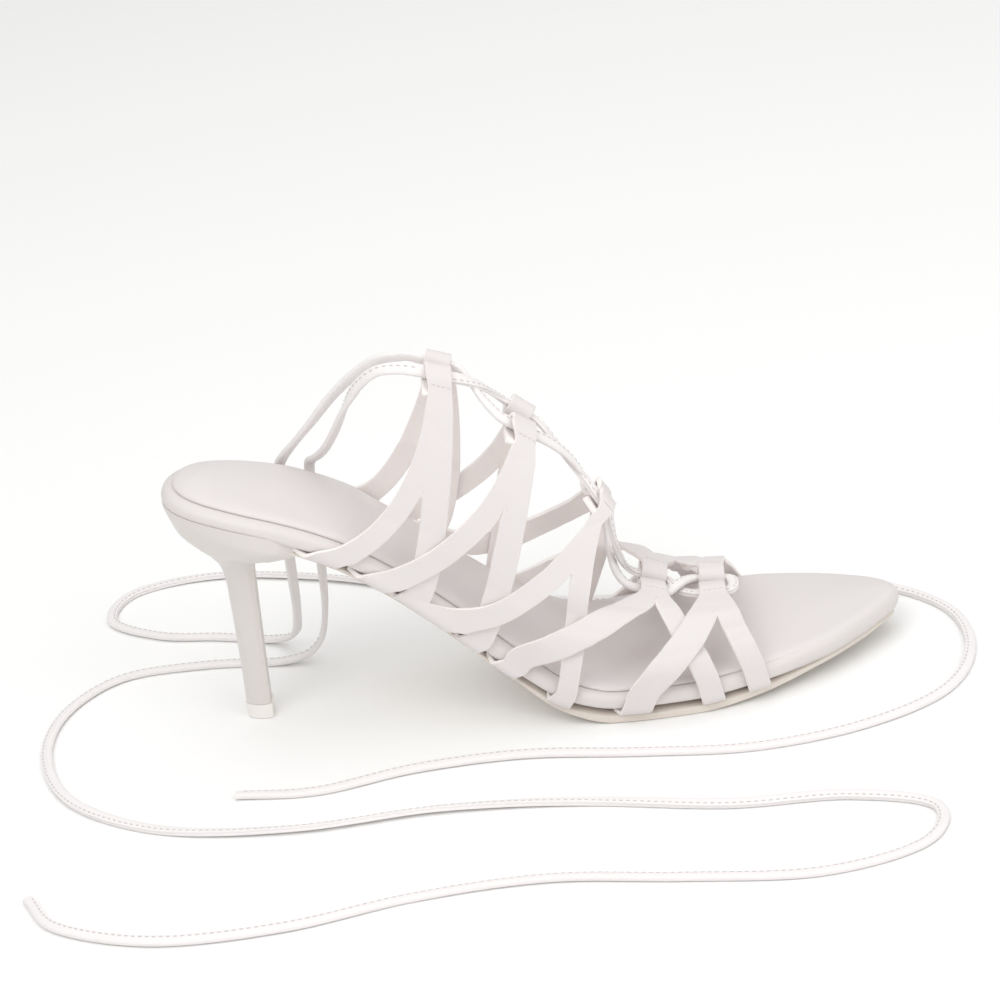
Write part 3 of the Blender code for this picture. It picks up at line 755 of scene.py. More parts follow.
def leather(tree, place, colour, mottle, grain, depth, rough, coat):
    """Chrome-tanned leather with a pigment finish: pebbled grain, satin gloss and a faint cloudy tone."""
    cloud = node(tree, "ShaderNodeTexNoise", {"Vector": place, "Scale": per_metre(28.0), "Detail": 3.0})
    tone = node(
        tree,
        "ShaderNodeMix",
        {0: cloud.outputs["Fac"], 6: shade(colour, 1 - mottle), 7: shade(colour, 1 + mottle)},
        data_type="RGBA",
    )
    pebble = node(
        tree,
        "ShaderNodeTexVoronoi",
        {"Vector": place, "Scale": per_metre(grain), "Smoothness": 0.6},
        feature="SMOOTH_F1",
    )
    pore_size = per_metre(grain * 0.45)
    pore = node(tree, "ShaderNodeTexNoise", {"Vector": place, "Scale": pore_size, "Detail": 2.0})
    pore = pore.outputs["Fac"]
    crease = node(tree, "ShaderNodeTexNoise", {"Vector": place, "Scale": per_metre(9.0), "Detail": 4.0})
    skin = None
    for height, strength, distance in (
        (crease.outputs["Fac"], 0.35, 0.5),
        (pore, 0.3, depth),
        (pebble.outputs["Distance"], 0.45, depth),
    ):
        relief = {"Height": height, "Strength": strength, "Distance": distance * MM}
        if skin is not None:
            relief["Normal"] = skin.outputs["Normal"]
        skin = node(tree, "ShaderNodeBump", relief)
    span = {"Value": pore, "To Min": rough - 0.07, "To Max": rough + 0.07}
    gloss = node(tree, "ShaderNodeMapRange", span)
    return {
        "Base Color": tone.outputs[2],
        "Roughness": gloss.outputs["Result"],
        "Normal": skin.outputs["Normal"],
        "IOR": 1.46,
        "Coat Weight": coat,
        "Coat Roughness": 0.35,
    }


def thread(tree, place, colour):
    """Bonded polyester sewing thread: matt, a little sheen, slightly greyer than the leather."""
    ply = node(tree, "ShaderNodeTexNoise", {"Vector": place, "Scale": per_metre(0.4), "Detail": 1.0})
    strands = {0: ply.outputs["Fac"], 6: shade(colour, 0.85), 7: shade(colour, 1.0)}
    tone = node(tree, "ShaderNodeMix", strands, data_type="RGBA")
    return {"Base Color": tone.outputs[2], "Roughness": 0.65, "Sheen Weight": 0.2}


def sole_leather(tree, place, colour):
    """Vegetable-tanned sole leather: tan, matt, fibrous, with fine layers along its cut edge."""
    layers = node(tree, "ShaderNodeMapping", {"Vector": place, "Scale": (1.0, 1.0, 5.0)}).outputs["Vector"]
    fibre = node(tree, "ShaderNodeTexNoise", {"Vector": layers, "Scale": per_metre(2.5), "Detail": 5.0})
    cloud = node(tree, "ShaderNodeTexNoise", {"Vector": place, "Scale": per_metre(18.0), "Detail": 4.0})
    tans = {0: cloud.outputs["Fac"], 6: shade(colour, 0.84), 7: shade(colour, 1.1)}
    tone = node(tree, "ShaderNodeMix", tans, data_type="RGBA")
    fibres = {0: 0.25, 6: tone.outputs[2], 7: fibre.outputs["Color"]}
    grain = node(tree, "ShaderNodeMix", fibres, data_type="RGBA", blend_type="SOFT_LIGHT")
    height = fibre.outputs["Fac"]
    rough = node(tree, "ShaderNodeMapRange", {"Value": height, "To Min": 0.55, "To Max": 0.75})
    skin = node(tree, "ShaderNodeBump", {"Height": height, "Strength": 0.4, "Distance": 0.1 * MM})
    return {
        "Base Color": grain.outputs[2],
        "Roughness": rough.outputs["Result"],
        "Normal": skin.outputs["Normal"],
    }


def top_piece(tree, place, colour):
    """Moulded polyurethane top piece: off-white, matt, with a fine spark-eroded texture."""
    grit = node(tree, "ShaderNodeTexNoise", {"Vector": place, "Scale": per_metre(0.35), "Detail": 2.0})
    height = grit.outputs["Fac"]
    whites = {0: height, 6: shade(colour, 0.95), 7: shade(colour, 1.0)}
    tone = node(tree, "ShaderNodeMix", whites, data_type="RGBA")
    rough = node(tree, "ShaderNodeMapRange", {"Value": height, "To Min": 0.5, "To Max": 0.66})
    skin = node(tree, "ShaderNodeBump", {"Height": height, "Strength": 0.25, "Distance": 0.04 * MM})
    return {
        "Base Color": tone.outputs[2],
        "Roughness": rough.outputs["Result"],
        "Normal": skin.outputs["Normal"],
        "IOR": 1.5,
    }


# The finishes by material: its colour, what makes it, and for a leather the cloudiness of its tone, the width
# and depth of its grain in millimetres, roughness and gloss. The grain is drawn coarser than life, to show
FINISHES = {
    # Full-grain upper leather: fine pebble, satin
    "white nappa leather": ("upper", leather, 0.02, 0.75, 0.05, 0.46, 0.08),
    # Pulled tight round the board: finer and more even. Its colour carries painted shade
    "footbed wrap leather": ("wrap", leather, 0.015, 0.65, 0.04, 0.46, 0.08),
    # Brushed on its face: matt, coarse pores. Its colour is the lining's own greyer tone with painted shade
    # darkened in
    "pigskin lining leather": ("lining", leather, 0.03, 1.1, 0.06, 0.6, 0.0),
    # Over thin foam: even, softly satin
    "insole sock leather": ("sock", leather, 0.015, 0.6, 0.035, 0.5, 0.05),
    # Stretched over the heel: nearly flat grain and the most gloss. Its colour carries painted shade
    "heel cover leather": ("heel", leather, 0.012, 0.5, 0.025, 0.42, 0.12),
    # A narrow strip, folded and rolled: fine grain, matt from handling
    "folded lace leather": ("lace", leather, 0.02, 0.55, 0.04, 0.52, 0.03),
    "polyester thread": ("thread", thread),
    "tan sole leather": ("sole", sole_leather),
    "moulded polyurethane": ("tip", top_piece),
}


def paint(name):
    """One of the sandal's materials, made the first time that it is asked for."""
    made = bpy.data.materials.get(name)
    if made is None:
        colour, finish, *values = FINISHES[name]
        made = bpy.data.materials.new(name)
        made.use_nodes = True
        tree = made.node_tree
        place = node(tree, "ShaderNodeTexCoord", {}).outputs["Object"]
        dye = getattr(bpy.context.scene.sandal_colours, colour)
        feed(tree, tree.nodes["Principled BSDF"], finish(tree, place, dye, *values))
    return made


def deselect():
    """Leaves nothing selected."""
    bpy.ops.object.select_all(action="DESELECT")


def pick(*pieces):
    """Selects these pieces alone, the first of them active."""
    deselect()
    for piece in pieces:
        piece.select_set(True)
    bpy.context.view_layer.objects.active = pieces[0]


def grid(name, across, along, place):
    """A grid primitive whose points are laid out by place(u, v)."""
    deselect()
    bpy.ops.mesh.primitive_grid_add(x_subdivisions=across, y_subdivisions=along, size=1.0)
    piece = bpy.context.object
    piece.name = piece.data.name = name
    for point in piece.data.vertices:
        u = round((point.co.x + 0.5) * across)
        v = round((point.co.y + 0.5) * along)
        point.co = (place(u, v) - CENTRE) * MM
    return piece


def edited(piece, *steps):
    """Runs edit-mode operators on all of a piece."""
    pick(piece)
    bpy.ops.object.mode_set(mode="EDIT")
    bpy.ops.mesh.select_all(action="SELECT")
    for step, settings in steps:
        step(**settings)
    bpy.ops.object.mode_set(mode="OBJECT")


def closed(piece):
    """Seams and poles merged, faces outward."""
    edited(
        piece,
        (bpy.ops.mesh.remove_doubles, {"threshold": SEAM}),
        (bpy.ops.mesh.dissolve_degenerate, {"threshold": SLIVER}),
        (bpy.ops.mesh.normals_make_consistent, {"inside": False}),
    )
    return piece


def finished(piece, material, slot, *nodes, crisp=None):
    """Material, shading, the CAD nodes that it stands for and the body that it rides on. The slot is not
    used.
    """
    if material:
        piece.data.materials.append(paint(material))
    pick(piece)
    if crisp is None:
        bpy.ops.object.shade_smooth()
    else:
        bpy.ops.object.shade_smooth_by_angle(angle=math.radians(crisp))
    if nodes:
        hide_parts(*nodes)
    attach(piece, "root")
    return piece


def apply(piece, name, kind, **settings):
    """A modifier added with its settings and applied."""
    pick(piece)
    made = piece.modifiers.new(name, kind)
    for key, value in settings.items():
        setattr(made, key, value)
    bpy.ops.object.modifier_apply(modifier=made.name)


def plate(name, rows, start, crown):
    """A layer of the sole: its rim section carried round the outline from a station on, and closed."""
    first = turn_at(start)
    turns = [first + (math.pi - first) * i / STATIONS for i in range(STATIONS + 1)]
    walk = [(LATERAL, t) for t in turns] + [(MEDIAL, t) for t in turns[-2::-1]]
    if start > 0.0:
        walk.append(walk[0])
    rings = []
    for row in rows:
        ring = []
        for side, turn in walk:
            inset, depth = rim_row(row, edge(side, turn).x)
            ring.append(rim(side, turn, -inset, depth))
        rings.append(ring)
    count = 2 * STATIONS
    last = 2 * TOPS + len(rings) - 1

    def across(ring, i, share, lift):
        mid = (ring[min(i, count)] + ring[count - min(i, count)]) / 2
        point = mid + (ring[i] - mid) * share
        wide = abs(ring[i].y - mid.y)
        return point + Vector((0.0, 0.0, lift * (1 - share ** 2) * min(wide / CROWN_WIDE, 1.0)))

    def place(u, v):
        if v < TOPS:
            return across(rings[0], u, v / TOPS, crown)
        if v < TOPS + len(rings):
            return rings[v - TOPS][u]
        return across(rings[-1], u, (last - v) / TOPS, 0.0)

    return closed(grid(name, len(walk) - 1, last, place))


def heel_share(step):
    """How far from back to breast a point of the section lies."""
    return (step / HEEL_SIDE_POINTS) ** HEEL_BUNCH


def heel_point(row, step, side):
    """A point of a section with a round back and a flat breast, tilted from its back to its breast."""
    back_x, back_z, breast_x, breast_z, half = row
    along = heel_share(step)
    wide = half * math.sqrt(math.sin(math.pi / 2 * min(along / HEEL_WIDEST, 1.0)))
    wide *= 1 - BREAST_IN * blend(BREAST_FROM, 1.0, along)
    here = Vector((back_x, 0.0, back_z)).lerp(Vector((breast_x, 0.0, breast_z)), along)
    return Vector((here.x, side * wide + HEEL_MIDDLE, here.z))


def heel_row(rows, at):
    """A section between the heel's rows."""
    return [smooth_rows(range(len(rows)), column, at) for column in zip(*rows)]


def under_seat(x, depth):
    """Height of the surface that lies this deep under the seat line."""
    low, high = x - depth, x + depth
    for _ in range(HALVINGS):
        mid = (low + high) / 2
        square = square_to_seat(mid)
        if mid - depth * square.x < x:
            low = mid
        else:
            high = mid
    return seat(mid) - depth * square.z


def loft(name, rows, levels, top_depth):
    """Heel sections skinned into a closed solid, its top cut to the seat where a depth is given."""
    last = len(rows) - 1
    ring = [(LATERAL, i) for i in range(HEEL_SIDE_POINTS + 1)]
    ring += [(MEDIAL, i) for i in range(HEEL_SIDE_POINTS, -1, -1)]
    starts = [0.0] * len(ring)
    shifts = [Vector()] * len(ring)
    for u, (side, i) in enumerate(ring if top_depth else ()):
        low, high = 0.0, CUT_MOST
        for _ in range(HALVINGS):
            mid = (low + high) / 2
            point = heel_point(heel_row(rows, mid), i, side)
            if point.z > under_seat(max(point.x, 0.0), top_depth):
                low = mid
            else:
                high = mid
        starts[u] = high
        along = heel_share(i)
        flush = rim(side, turn_at(along * BREAST), -HEEL_INSET, top_depth)
        own = heel_point(heel_row(rows, high), i, side)
        shifts[u] = (flush - own) * (1 - blend(HEEL_LEAVES, 1.0, along))
    size = len(ring)

    def cap(v, share, u):
        side, i = ring[u]
        at = starts[u] + (last - starts[u]) * v
        point = heel_point(heel_row(rows, at), i, side) + shifts[u] * (1 - blend(0.0, HEEL_FLARE, v))
        middle = Vector((point.x, 0.0, point.z))
        return middle.lerp(point, share)

    def place(u, v):
        u = u % size
        if v < CAPS:
            return cap(0.0, v / CAPS, u)
        if v <= CAPS + levels:
            return cap((v - CAPS) / levels, 1.0, u)
        return cap(1.0, (2 * CAPS + levels - v) / CAPS, u)

    return closed(grid(name, size, levels + 2 * CAPS, place))


def sweep(name, path, facings):
    """The folded lace along a path, its flat face turned to the facings, with closed ends."""
    width, wall = lace_size()
    count = len(LACE_SECTION)
    frames = lace_frames(path, facings)
    last = len(path) - 1

    def place(u, v):
        at = min(max(v - 1, 0), last)
        share = 0.0 if v in (0, last + 2) else 1.0
        across, facing = frames[at]
        a, b = LACE_SECTION[u % count]
        return path[at] + (across * (a * width / 2) + facing * (b * wall / 2)) * share

    return closed(grid(name, count, last + 2, place))


def lace_size():
    """Width and thickness of the lace in millimetres."""
    sizes = bpy.context.scene.sandal_sizes
    return sizes.lace_width / MM, sizes.lace_wall / MM


def lace_frames(path, facings):
    """Directions across the lace and out of its flat face, at each point of its path."""
    frames = []
    for i, facing in enumerate(facings):
        heading = path[min(i + 1, len(path) - 1)] - path[max(i - 1, 0)]
        across = heading.cross(facing).normalized()
        frames.append((across, across.cross(heading).normalized()))
    return frames


def strand(start, start_heading, stop, stop_heading, lift, bow):
    """A lace strand between two loop mouths, bowed along its headings and lifted at its middle."""
    pull = (stop - start).length * bow
    points = []
    for i in range(1, STRAND_STEPS):
        t = i / STRAND_STEPS
        point = curve(t, start, pull * start_heading, stop, pull * stop_heading)
        points.append(point + lift * math.sin(math.pi * t) ** 2)
    return points


def lacing_path():
    """The lace from inside the rear outer loop to the front, round its bight and back to the inner one."""
    order = [(i, LATERAL if i % 2 == 0 else MEDIAL) for i in range(len(OUTER_STRAPS))]
    order = [(i, s, 1) for i, s in order] + [(i, -s, -1) for i, s in reversed(order)]
    path, facings = [], []
    for k, (index, side, way) in enumerate(order):
        centre, axis, outward, _ = loop_frame(STRAPS[side][index], side)
        first = 0.0 if k == 0 else -1.0
        last = 0.0 if k == len(order) - 1 else 1.0
        for share in (s for s in LOOP_SHARES if first <= s <= last):
            path.append(centre + axis * (share * way * LOOP_REACH))
            facings.append(outward)
        if k + 1 == len(order):
            break
        to_index, to_side, to_way = order[k + 1]
        to_centre, to_axis, to_outward, _ = loop_frame(STRAPS[to_side][to_index], to_side)
        stop = to_centre - to_axis * (to_way * LOOP_REACH)
        rise = 0.0 if index == to_index else CROSS_RISE * (-side * way)
        leave, arrive = axis * way, to_axis * to_way
        if {index, to_index} == HANGING:
            leave, arrive = (HANG, arrive) if way > 0 else (leave, -HANG)
        bridge = strand(path[-1], leave, stop, arrive, outward * rise, STRAND_BOW[min(index, to_index)])
        for i, point in enumerate(bridge):
            path.append(point)
            facings.append(outward.lerp(to_outward, (i + 1) / STRAND_STEPS))
    return path, facings


def tie_path(side):
    """A free end from inside its rear loop, over the seat's edge and along the floor, with its facings."""
    width, wall = lace_size()
    centre, axis, outward, _ = loop_frame(STRAPS[side][0], side)
    mouth = centre - axis * LOOP_REACH
    route = [centre, mouth, mouth - axis * TIE_LEAD] + [Vector(p) for p in TIE_ROUTES[side]]
    path = through(route, TIE_STEP)
    touch = next(i for i, p in enumerate(path) if p.z < FLOOR_HEIGHT)
    landing = path[touch + LANDING_STEPS] - path[touch - LANDING_STEPS]
    landing.z = 0.0
    landing.normalize()
    above = Vector((0.0, 0.0, 1.0))
    keys = [(LOOP_HEIGHT, outward), *TIE_FACING, (LANDING_HEIGHT, landing), (FLOOR_HEIGHT, above)]
    heights = [-z for z, _ in keys]
    turns = [turn for _, turn in keys]
    facings = []
    for i, point in enumerate(path):
        facing = Vector(between(-point.z, heights, turns)).normalized()
        if i >= touch:
            run = (i - touch) * TIE_STEP
            wave = math.sin(run / ROLL_SHORT + side) * math.sin(run / ROLL_LONG)
            roll = ROLL_MOST * wave * blend(0.0, ROLL_START, run)
            heading = path[min(i + 1, len(path) - 1)] - path[i - 1]
            facing = Matrix.Rotation(roll, 3, heading.normalized()) @ above
            tall = width / 2 * abs(math.sin(roll)) + wall / 2 * math.cos(roll)
            point.z += (FLOOR + tall + FLOOR_GAP - point.z) * blend(0.0, SETTLE, run)
        facings.append(facing)
    return path, facings


def stitch_shape():
    """Points and faces of one stitch of thread: a small bead, drawn out along its Z when it is laid."""
    deselect()
    bpy.ops.mesh.primitive_uv_sphere_add(segments=6, ring_count=4, radius=1.0)
    stitch = bpy.context.object
    points = [v.co.copy() for v in stitch.data.vertices]
    faces = [tuple(p.vertices) for p in stitch.data.polygons]
    bpy.data.objects.remove(stitch)
    return points, faces


def stitching(name, seats, length, thick):
    """Copies of one stitch on their seats: point, heading and facing."""
    shape, corners = stitch_shape()
    points, faces = [], []
    for point, heading, facing in seats:
        heading = heading.normalized()
        across = facing.cross(heading).normalized()
        up = heading.cross(across)
        base = len(points)
        for p in shape:
            local = heading * (p.z * length / 2) + across * (p.x * thick / 2) + up * (p.y * thick / 2)
            points.append((point + local - CENTRE) * MM)
        faces += [tuple(base + i for i in face) for face in corners]
    mesh = bpy.data.meshes.new(name)
    mesh.from_pydata(points, [], faces)
    piece = bpy.data.objects.new(name, mesh)
    bpy.context.scene.collection.objects.link(piece)
    edited(piece, (bpy.ops.mesh.normals_make_consistent, {"inside": False}))
    return piece


def lace_stitches(path, facings, skip):
    """Seats of the stitches along the open edge of the lace."""
    width, wall = lace_size()
    frames = lace_frames(path, facings)
    reach = reaches(path)
    seats = []
    for at in np.arange(skip, reach[-1] - STITCH_STOP, STITCH_PITCH):
        i = int(np.searchsorted(reach, at)) - 1
        t = (at - reach[i]) / (reach[i + 1] - reach[i])
        across = frames[i][0].lerp(frames[i + 1][0], t)
        facing = frames[i][1].lerp(frames[i + 1][1], t)
        point = path[i].lerp(path[i + 1], t)
        point += across * (STITCH_ACROSS * width / 2) + facing * (wall / 2 * STITCH_SINK)
        seats.append((point, path[i + 1] - path[i], facing))
    return seats


def loop_stitches(piece, row, side):
    """Seats of the stitches that close a loop, laid on the strap's own face."""
    _, axis, outward, _ = loop_frame(row, side)
    _, plain, _, _ = loop_frame(row, side, twisted=False)
    level = np.interp(-LOOP_TALL, [-reach for reach in below_loop(row, side)], LEVELS)
    spans, _ = strap_spans(row, side, level)
    rear, fore = spans[0][0], spans[1][1]
    seats = []
    for share in LOOP_STITCHES:
        x = (rear + fore) / 2 + share * (fore - rear) / 2
        turned = (axis - plain) * ((x - row[LOOP_X]) / plain.x) * blend(TWIST_START, 1.0, level)
        off = strap_point(row, side, x, level, 0.0) + turned + outward * STITCH_PROBE
        _, place, facing, _ = piece.closest_point_on_mesh((off - CENTRE) * MM)
        seats.append((place / MM + CENTRE, axis, facing))
    return seats


def strap(index, side):
    """One V strap: two legs that join below the loop, turned under the footbed and folded over the lace."""
    wall = bpy.context.scene.sandal_sizes.strap_wall
    row = STRAPS[side][index]
    centre, axis, outward, up = loop_frame(row, side)
    _, plain, _, _ = loop_frame(row, side, twisted=False)
    laid = [strap_spans(row, side, level) for level in LEVELS]
    crotch = next(level for level, (_, joined) in zip(LEVELS, laid) if joined)
    below = below_loop(row, side)
    for reach, (spans, joined) in zip(below, laid):
        middle = (spans[0][0] + spans[1][1]) / 2
        drawn = NECK_IN[index] * (1 - blend(0.0, NECK_HALF, abs(reach - NECK_AT))) if joined else 0.0
        spans[0][0] += (middle - spans[0][0]) * drawn
        spans[1][1] += (middle - spans[1][1]) * drawn
    leans = [leg_lean(row, side, foot, sweep) for foot, sweep, _ in (row[REAR], row[FRONT])]
    over = crossing(index, side, wall / MM) if index > 0 else []
    under = crossing(index + 1, side, wall / MM) if index + 1 < len(STRAPS[side]) else []
    rides = faded([(level, min(much, CROSS_MOST)) for level, _, much in over], RIDE_FADE)
    presses = faded([(near, max(much - CROSS_MOST, 0.0)) for _, near, much in under], CROSS_FADE)

    def place_leg(k):
        def place(u, v):
            share = u / STRAP_COLUMNS
            if v < WRAPS:
                left, right = laid[0][0][k]
                out, depth = WRAP_ROWS[v]
                if k == 0:
                    out += rides[0] * blend(0.0, WRAPS, v) * share
                x = left + (right - left) * share - leans[k] * WRAP_REACH[v]
                return rim(side, turn_at(x), out, depth)
            v -= WRAPS
            if v <= STRAP_LEVELS:
                left, right = laid[v][0][k]
                shared = blend(crotch - CROSS_FADE, crotch, LEVELS[v])
                ride = rides[v] * (1 - blend(RIDE_END, 1.0, LEVELS[v]))
                if k == 0:
                    ride *= 1 - (1 - share) * (1 - blend(0.0, RIDE_TILT, LEVELS[v]))
                else:
                    ride = ride * shared - presses[v] * (1 - shared)
                ride += LOOP_BULGE * math.sin(math.pi * min(below[v] / LOOP_TALL, 1.0))
                x = left + (right - left) * share
                rear, fore = laid[v][0][0][0], laid[v][0][1][1]
                ride -= crease_depth(index, side, LEVELS[v], (x - rear) / (fore - rear) - 0.5, below[0])
                turned = (axis - plain) * ((x - row[LOOP_X]) / plain.x) * blend(TWIST_START, 1.0, LEVELS[v])
                return strap_point(row, side, x, LEVELS[v], ride) + turned
            v -= STRAP_LEVELS
            left, right = laid[-1][0][k]
            along = axis * ((left + (right - left) * share - row[LOOP_X]) / plain.x)
            radius = LOOP_BORE + FOLD_SLACK
            if v <= FOLD_STEPS:
                angle = math.pi * v / FOLD_STEPS
                return centre + along + (outward * math.cos(angle) + up * math.sin(angle)) * radius
            v -= FOLD_STEPS
            fall = v / TAIL_STEPS
            close = radius * (1 - 2 * blend(0.0, 1.0, fall)) + FOLD_SLACK
            return centre + along - outward * close - up * (TAB_TAIL * fall)

        return place

    rows = WRAPS + STRAP_LEVELS + FOLD_STEPS + TAIL_STEPS
    name = f"strap_{SIDE_NAME[side]}_{index + 1}"
    pieces = [grid(f"{name}_{k}", STRAP_COLUMNS, rows, place_leg(k)) for k in range(2)]
    pick(*pieces)
    bpy.ops.object.join()
    piece = pieces[0]
    piece.name = piece.data.name = name
    edited(
        piece,
        (bpy.ops.mesh.remove_doubles, {"threshold": STRAP_SEAM}),
        (bpy.ops.mesh.normals_make_consistent, {"inside": False}),
    )
    shin = (strap_point(row, side, row[FRONT][0], SHIN, 0.0) - CENTRE) * MM
    outer = min(piece.data.polygons, key=lambda face: (face.center - shin).length)
    if outer.normal.y * side < 0:
        edited(piece, (bpy.ops.mesh.flip_normals, {}))
    piece.data.materials.append(paint("pigskin lining leather"))
    piece.data.materials.append(paint("white nappa leather"))
    apply(
        piece,
        "wall",
        "SOLIDIFY",
        thickness=wall,
        offset=1.0,
        use_even_offset=True,
        material_offset=1,
        material_offset_rim=1,
    )
    corners = {"limit_method": "ANGLE", "angle_limit": math.radians(STRAP_CORNER)}
    apply(piece, "edge", "BEVEL", width=STRAP_ROUND * MM, segments=2, **corners)
    apply(piece, "round", "SUBSURF", levels=1, render_levels=1)
    return piece


class SANDAL_OT_ties(bpy.types.Operator):
    """The two free ends of the lace"""

    bl_idname = "sandal.ties"
    bl_label = "Ties"

    def execute(self, context):
        for side in (LATERAL, MEDIAL):
            word = SIDE_NAME[side]
            path, facings = tie_path(side)
            tie = sweep(f"tie_{word}", path, facings)
            finished(tie, "folded lace leather", "lace_leather", f"lace_end_{word}", crisp=LACE_CRISP)
            seats = lace_stitches(path, facings, TIE_STITCH_START)
            sewn = stitching(f"tie_stitches_{word}", seats, *TIE_STITCH)
            finished(sewn, "polyester thread", "lace_leather")
        return {"FINISHED"}


class SANDAL_OT_lacing(bpy.types.Operator):
    """The lace through the loops, crossing between each pair"""

    bl_idname = "sandal.lacing"
    bl_label = "Lacing"

    def execute(self, context):
        path, facings = lacing_path()
        lace = sweep("lacing", path, facings)
        nodes = ["lace_bight"] + [f"lace_cross_{i}" for i in range(1, len(OUTER_STRAPS))]
        finished(lace, "folded lace leather", "lace_leather", *nodes, crisp=LACE_CRISP)
        seats = lace_stitches(path, facings, LACING_STITCH_START)
        sewn = stitching("lacing_stitches", seats, *LACING_STITCH)
        finished(sewn, "polyester thread", "lace_leather")
        return {"FINISHED"}


class SANDAL_OT_straps(bpy.types.Operator):
    """The ten V straps with their loops, and the stitches that close the loops"""

    bl_idname = "sandal.straps"
    bl_label = "Straps"

    def execute(self, context):
        for side in (LATERAL, MEDIAL):
            seats = []
            for index, row in enumerate(STRAPS[side]):
                piece = strap(index, side)
                finished(piece, None, "white_leather", f"upper_{SIDE_NAME[side]}", crisp=STRAP_CRISP)
                seats += loop_stitches(piece, row, side)
            sewn = stitching(f"loop_stitches_{SIDE_NAME[side]}", seats, *LOOP_STITCH)
            finished(sewn, "polyester thread", "white_leather")
        return {"FINISHED"}


class SANDAL_OT_footbed(bpy.types.Operator):
    """The wrapped footbed, its padded insole and the outsole"""

    bl_idname = "sandal.footbed"
    bl_label = "Footbed and outsole"

    def execute(self, context):
        board = plate("wrapped_footbed", FOOTBED_RIM, 0.0, 0.0)
        apply(board, "round", "SUBSURF", levels=1, render_levels=1)
        finished(board, "footbed wrap leather", "white_leather", "footbed")
        pad = plate("padded_insole", PAD_RIM, 0.0, PAD_CROWN)
        apply(pad, "round", "SUBSURF", levels=1, render_levels=1)
        finished(pad, "insole sock leather", "insole_leather", "insole_pad")
        sole = plate("leather_outsole", OUTSOLE_RIM, BREAST, 0.0)
        finished(sole, "tan sole leather", "sole_leather", "outsole", crisp=SOLE_CRISP)
        return {"FINISHED"}


class SANDAL_OT_heel(bpy.types.Operator):
    """The covered stiletto heel and its top piece"""

    bl_idname = "sandal.heel"
    bl_label = "Heel"

    def execute(self, context):
        heel = loft("covered_heel", HEEL_ROWS, HEEL_LEVELS, HEEL_TOP_DEPTH)
        finished(heel, "heel cover leather", "heel_cover", "heel", crisp=HEEL_CRISP)
        tip = loft("top_piece", TIP_ROWS, TIP_LEVELS, None)
        finished(tip, "moulded polyurethane", "heel_tip", "heel_tip", crisp=HEEL_CRISP)
        return {"FINISHED"}


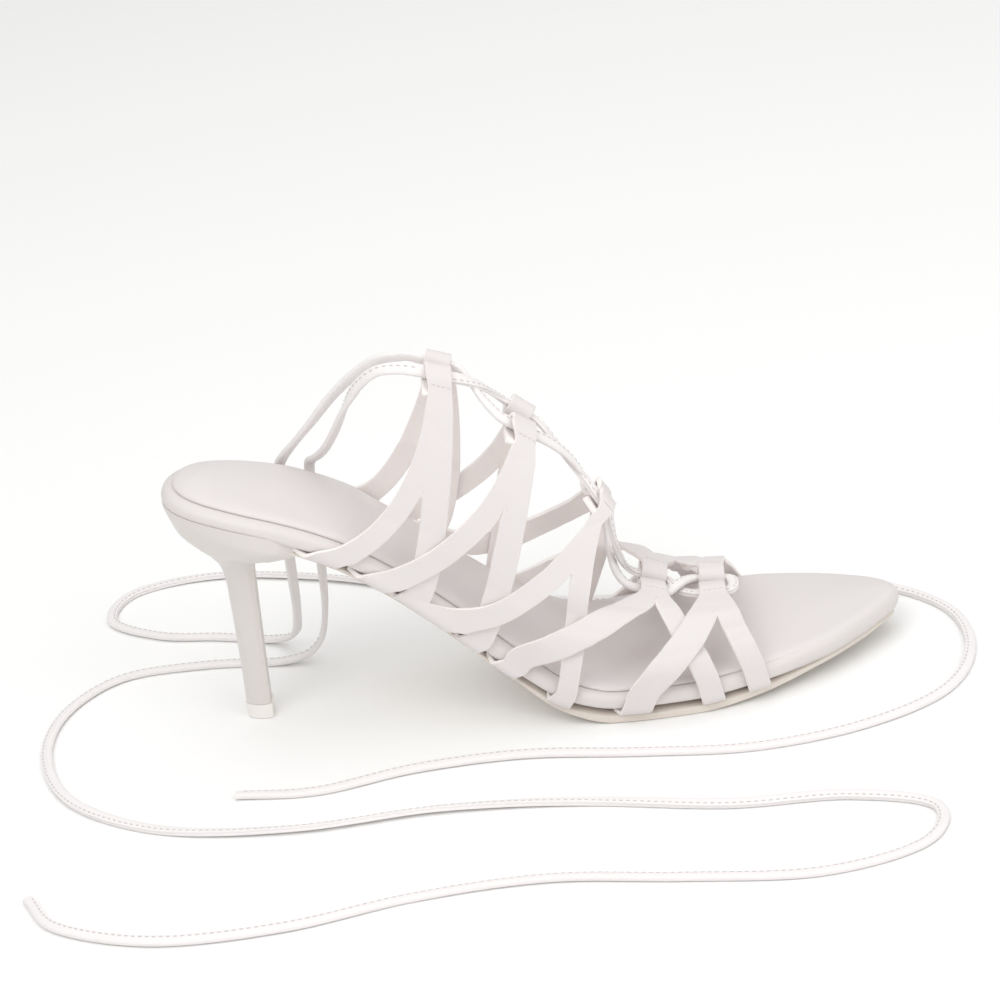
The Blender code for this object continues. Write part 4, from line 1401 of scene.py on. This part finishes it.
class SANDAL_OT_stage(bpy.types.Operator):
    """The floor, the soft light and the camera at the photograph's angle"""

    bl_idname = "sandal.stage"
    bl_label = "Stage"

    def execute(self, context):
        scene = context.scene
        deselect()
        bpy.ops.mesh.primitive_plane_add(size=FLOOR_SIZE, location=(0.0, 0.0, 0.0))
        floor = context.object
        floor.name = "studio_floor"
        # Background paper: even, with nearly no gloss
        paper = bpy.data.materials.new("matt studio paper")
        paper.use_nodes = True
        white = shade(scene.sandal_colours.floor, 1.0)
        matt = {"Base Color": white, "Roughness": 0.9, "Specular IOR Level": 0.1}
        feed(paper.node_tree, paper.node_tree.nodes["Principled BSDF"], matt)
        floor.data.materials.append(paper)
        for name, place, size, power in LIGHTS:
            deselect()
            bpy.ops.object.light_add(type="AREA", location=place)
            lamp = context.object
            lamp.name = name
            lamp.data.size = size
            lamp.data.energy = power
            lamp.rotation_euler = Vector(place).to_track_quat("Z", "Y").to_euler()
        world = bpy.data.worlds.new("studio")
        world.use_nodes = True
        sky = {"Color": (1.0, 1.0, 1.0, 1.0), "Strength": SKY_STRENGTH}
        feed(world.node_tree, world.node_tree.nodes["Background"], sky)
        scene.world = world
        scene.view_settings.view_transform = "Standard"
        turn, height, roll = (math.radians(k) for k in (VIEW_TURN, VIEW_HEIGHT, VIEW_ROLL))
        level = math.cos(height)
        back = Vector((math.sin(turn) * level, -math.cos(turn) * level, math.sin(height)))
        right = Vector((math.cos(turn), math.sin(turn), 0.0))
        up = back.cross(right)
        across = right * math.cos(roll) - up * math.sin(roll)
        above = right * math.sin(roll) + up * math.cos(roll)
        deselect()
        bpy.ops.object.camera_add()
        camera = context.object
        stand = Matrix((across, above, back)).transposed().to_4x4()
        stand.translation = (VIEW_TARGET - CENTRE) * MM + back * VIEW_DISTANCE * MM
        camera.matrix_world = stand
        camera.data.sensor_width = SENSOR
        camera.data.lens = VIEW_SCALE * VIEW_DISTANCE * SENSOR / PICTURE
        camera.data.shift_x = 0.5 - VIEW_U / PICTURE
        camera.data.shift_y = VIEW_V / PICTURE - 0.5
        scene.camera = camera
        return {"FINISHED"}


class SANDAL_PT_panel(bpy.types.Panel):
    """The sandal's sizes, colours and pieces"""

    bl_idname = "SANDAL_PT_panel"
    bl_label = "Ankle strap sandal"
    bl_space_type = "VIEW_3D"
    bl_region_type = "UI"
    bl_category = "Sandal"

    def draw(self, context):
        for group in (context.scene.sandal_sizes, context.scene.sandal_colours):
            for key in group.bl_rna.properties.keys():
                if key not in ("rna_type", "name"):
                    self.layout.prop(group, key)
        for made in OPERATORS:
            self.layout.operator(made.bl_idname)


OPERATORS = (
    SANDAL_OT_stage,
    SANDAL_OT_ties,
    SANDAL_OT_lacing,
    SANDAL_OT_footbed,
    SANDAL_OT_heel,
    SANDAL_OT_straps,
)
CLASSES = (SandalSizes, SandalColours, *OPERATORS, SANDAL_PT_panel)


def register():
    for made in CLASSES:
        bpy.utils.register_class(made)
    bpy.types.Scene.sandal_sizes = PointerProperty(type=SandalSizes)
    bpy.types.Scene.sandal_colours = PointerProperty(type=SandalColours)


def unregister():
    del bpy.types.Scene.sandal_colours
    del bpy.types.Scene.sandal_sizes
    for made in reversed(CLASSES):
        bpy.utils.unregister_class(made)


def main():
    register()
    bpy.ops.sandal.stage()
    bpy.ops.sandal.ties()
    bpy.ops.sandal.lacing()
    bpy.ops.sandal.footbed()
    bpy.ops.sandal.heel()
    bpy.ops.sandal.straps()


if __name__ == "__main__":
    main()
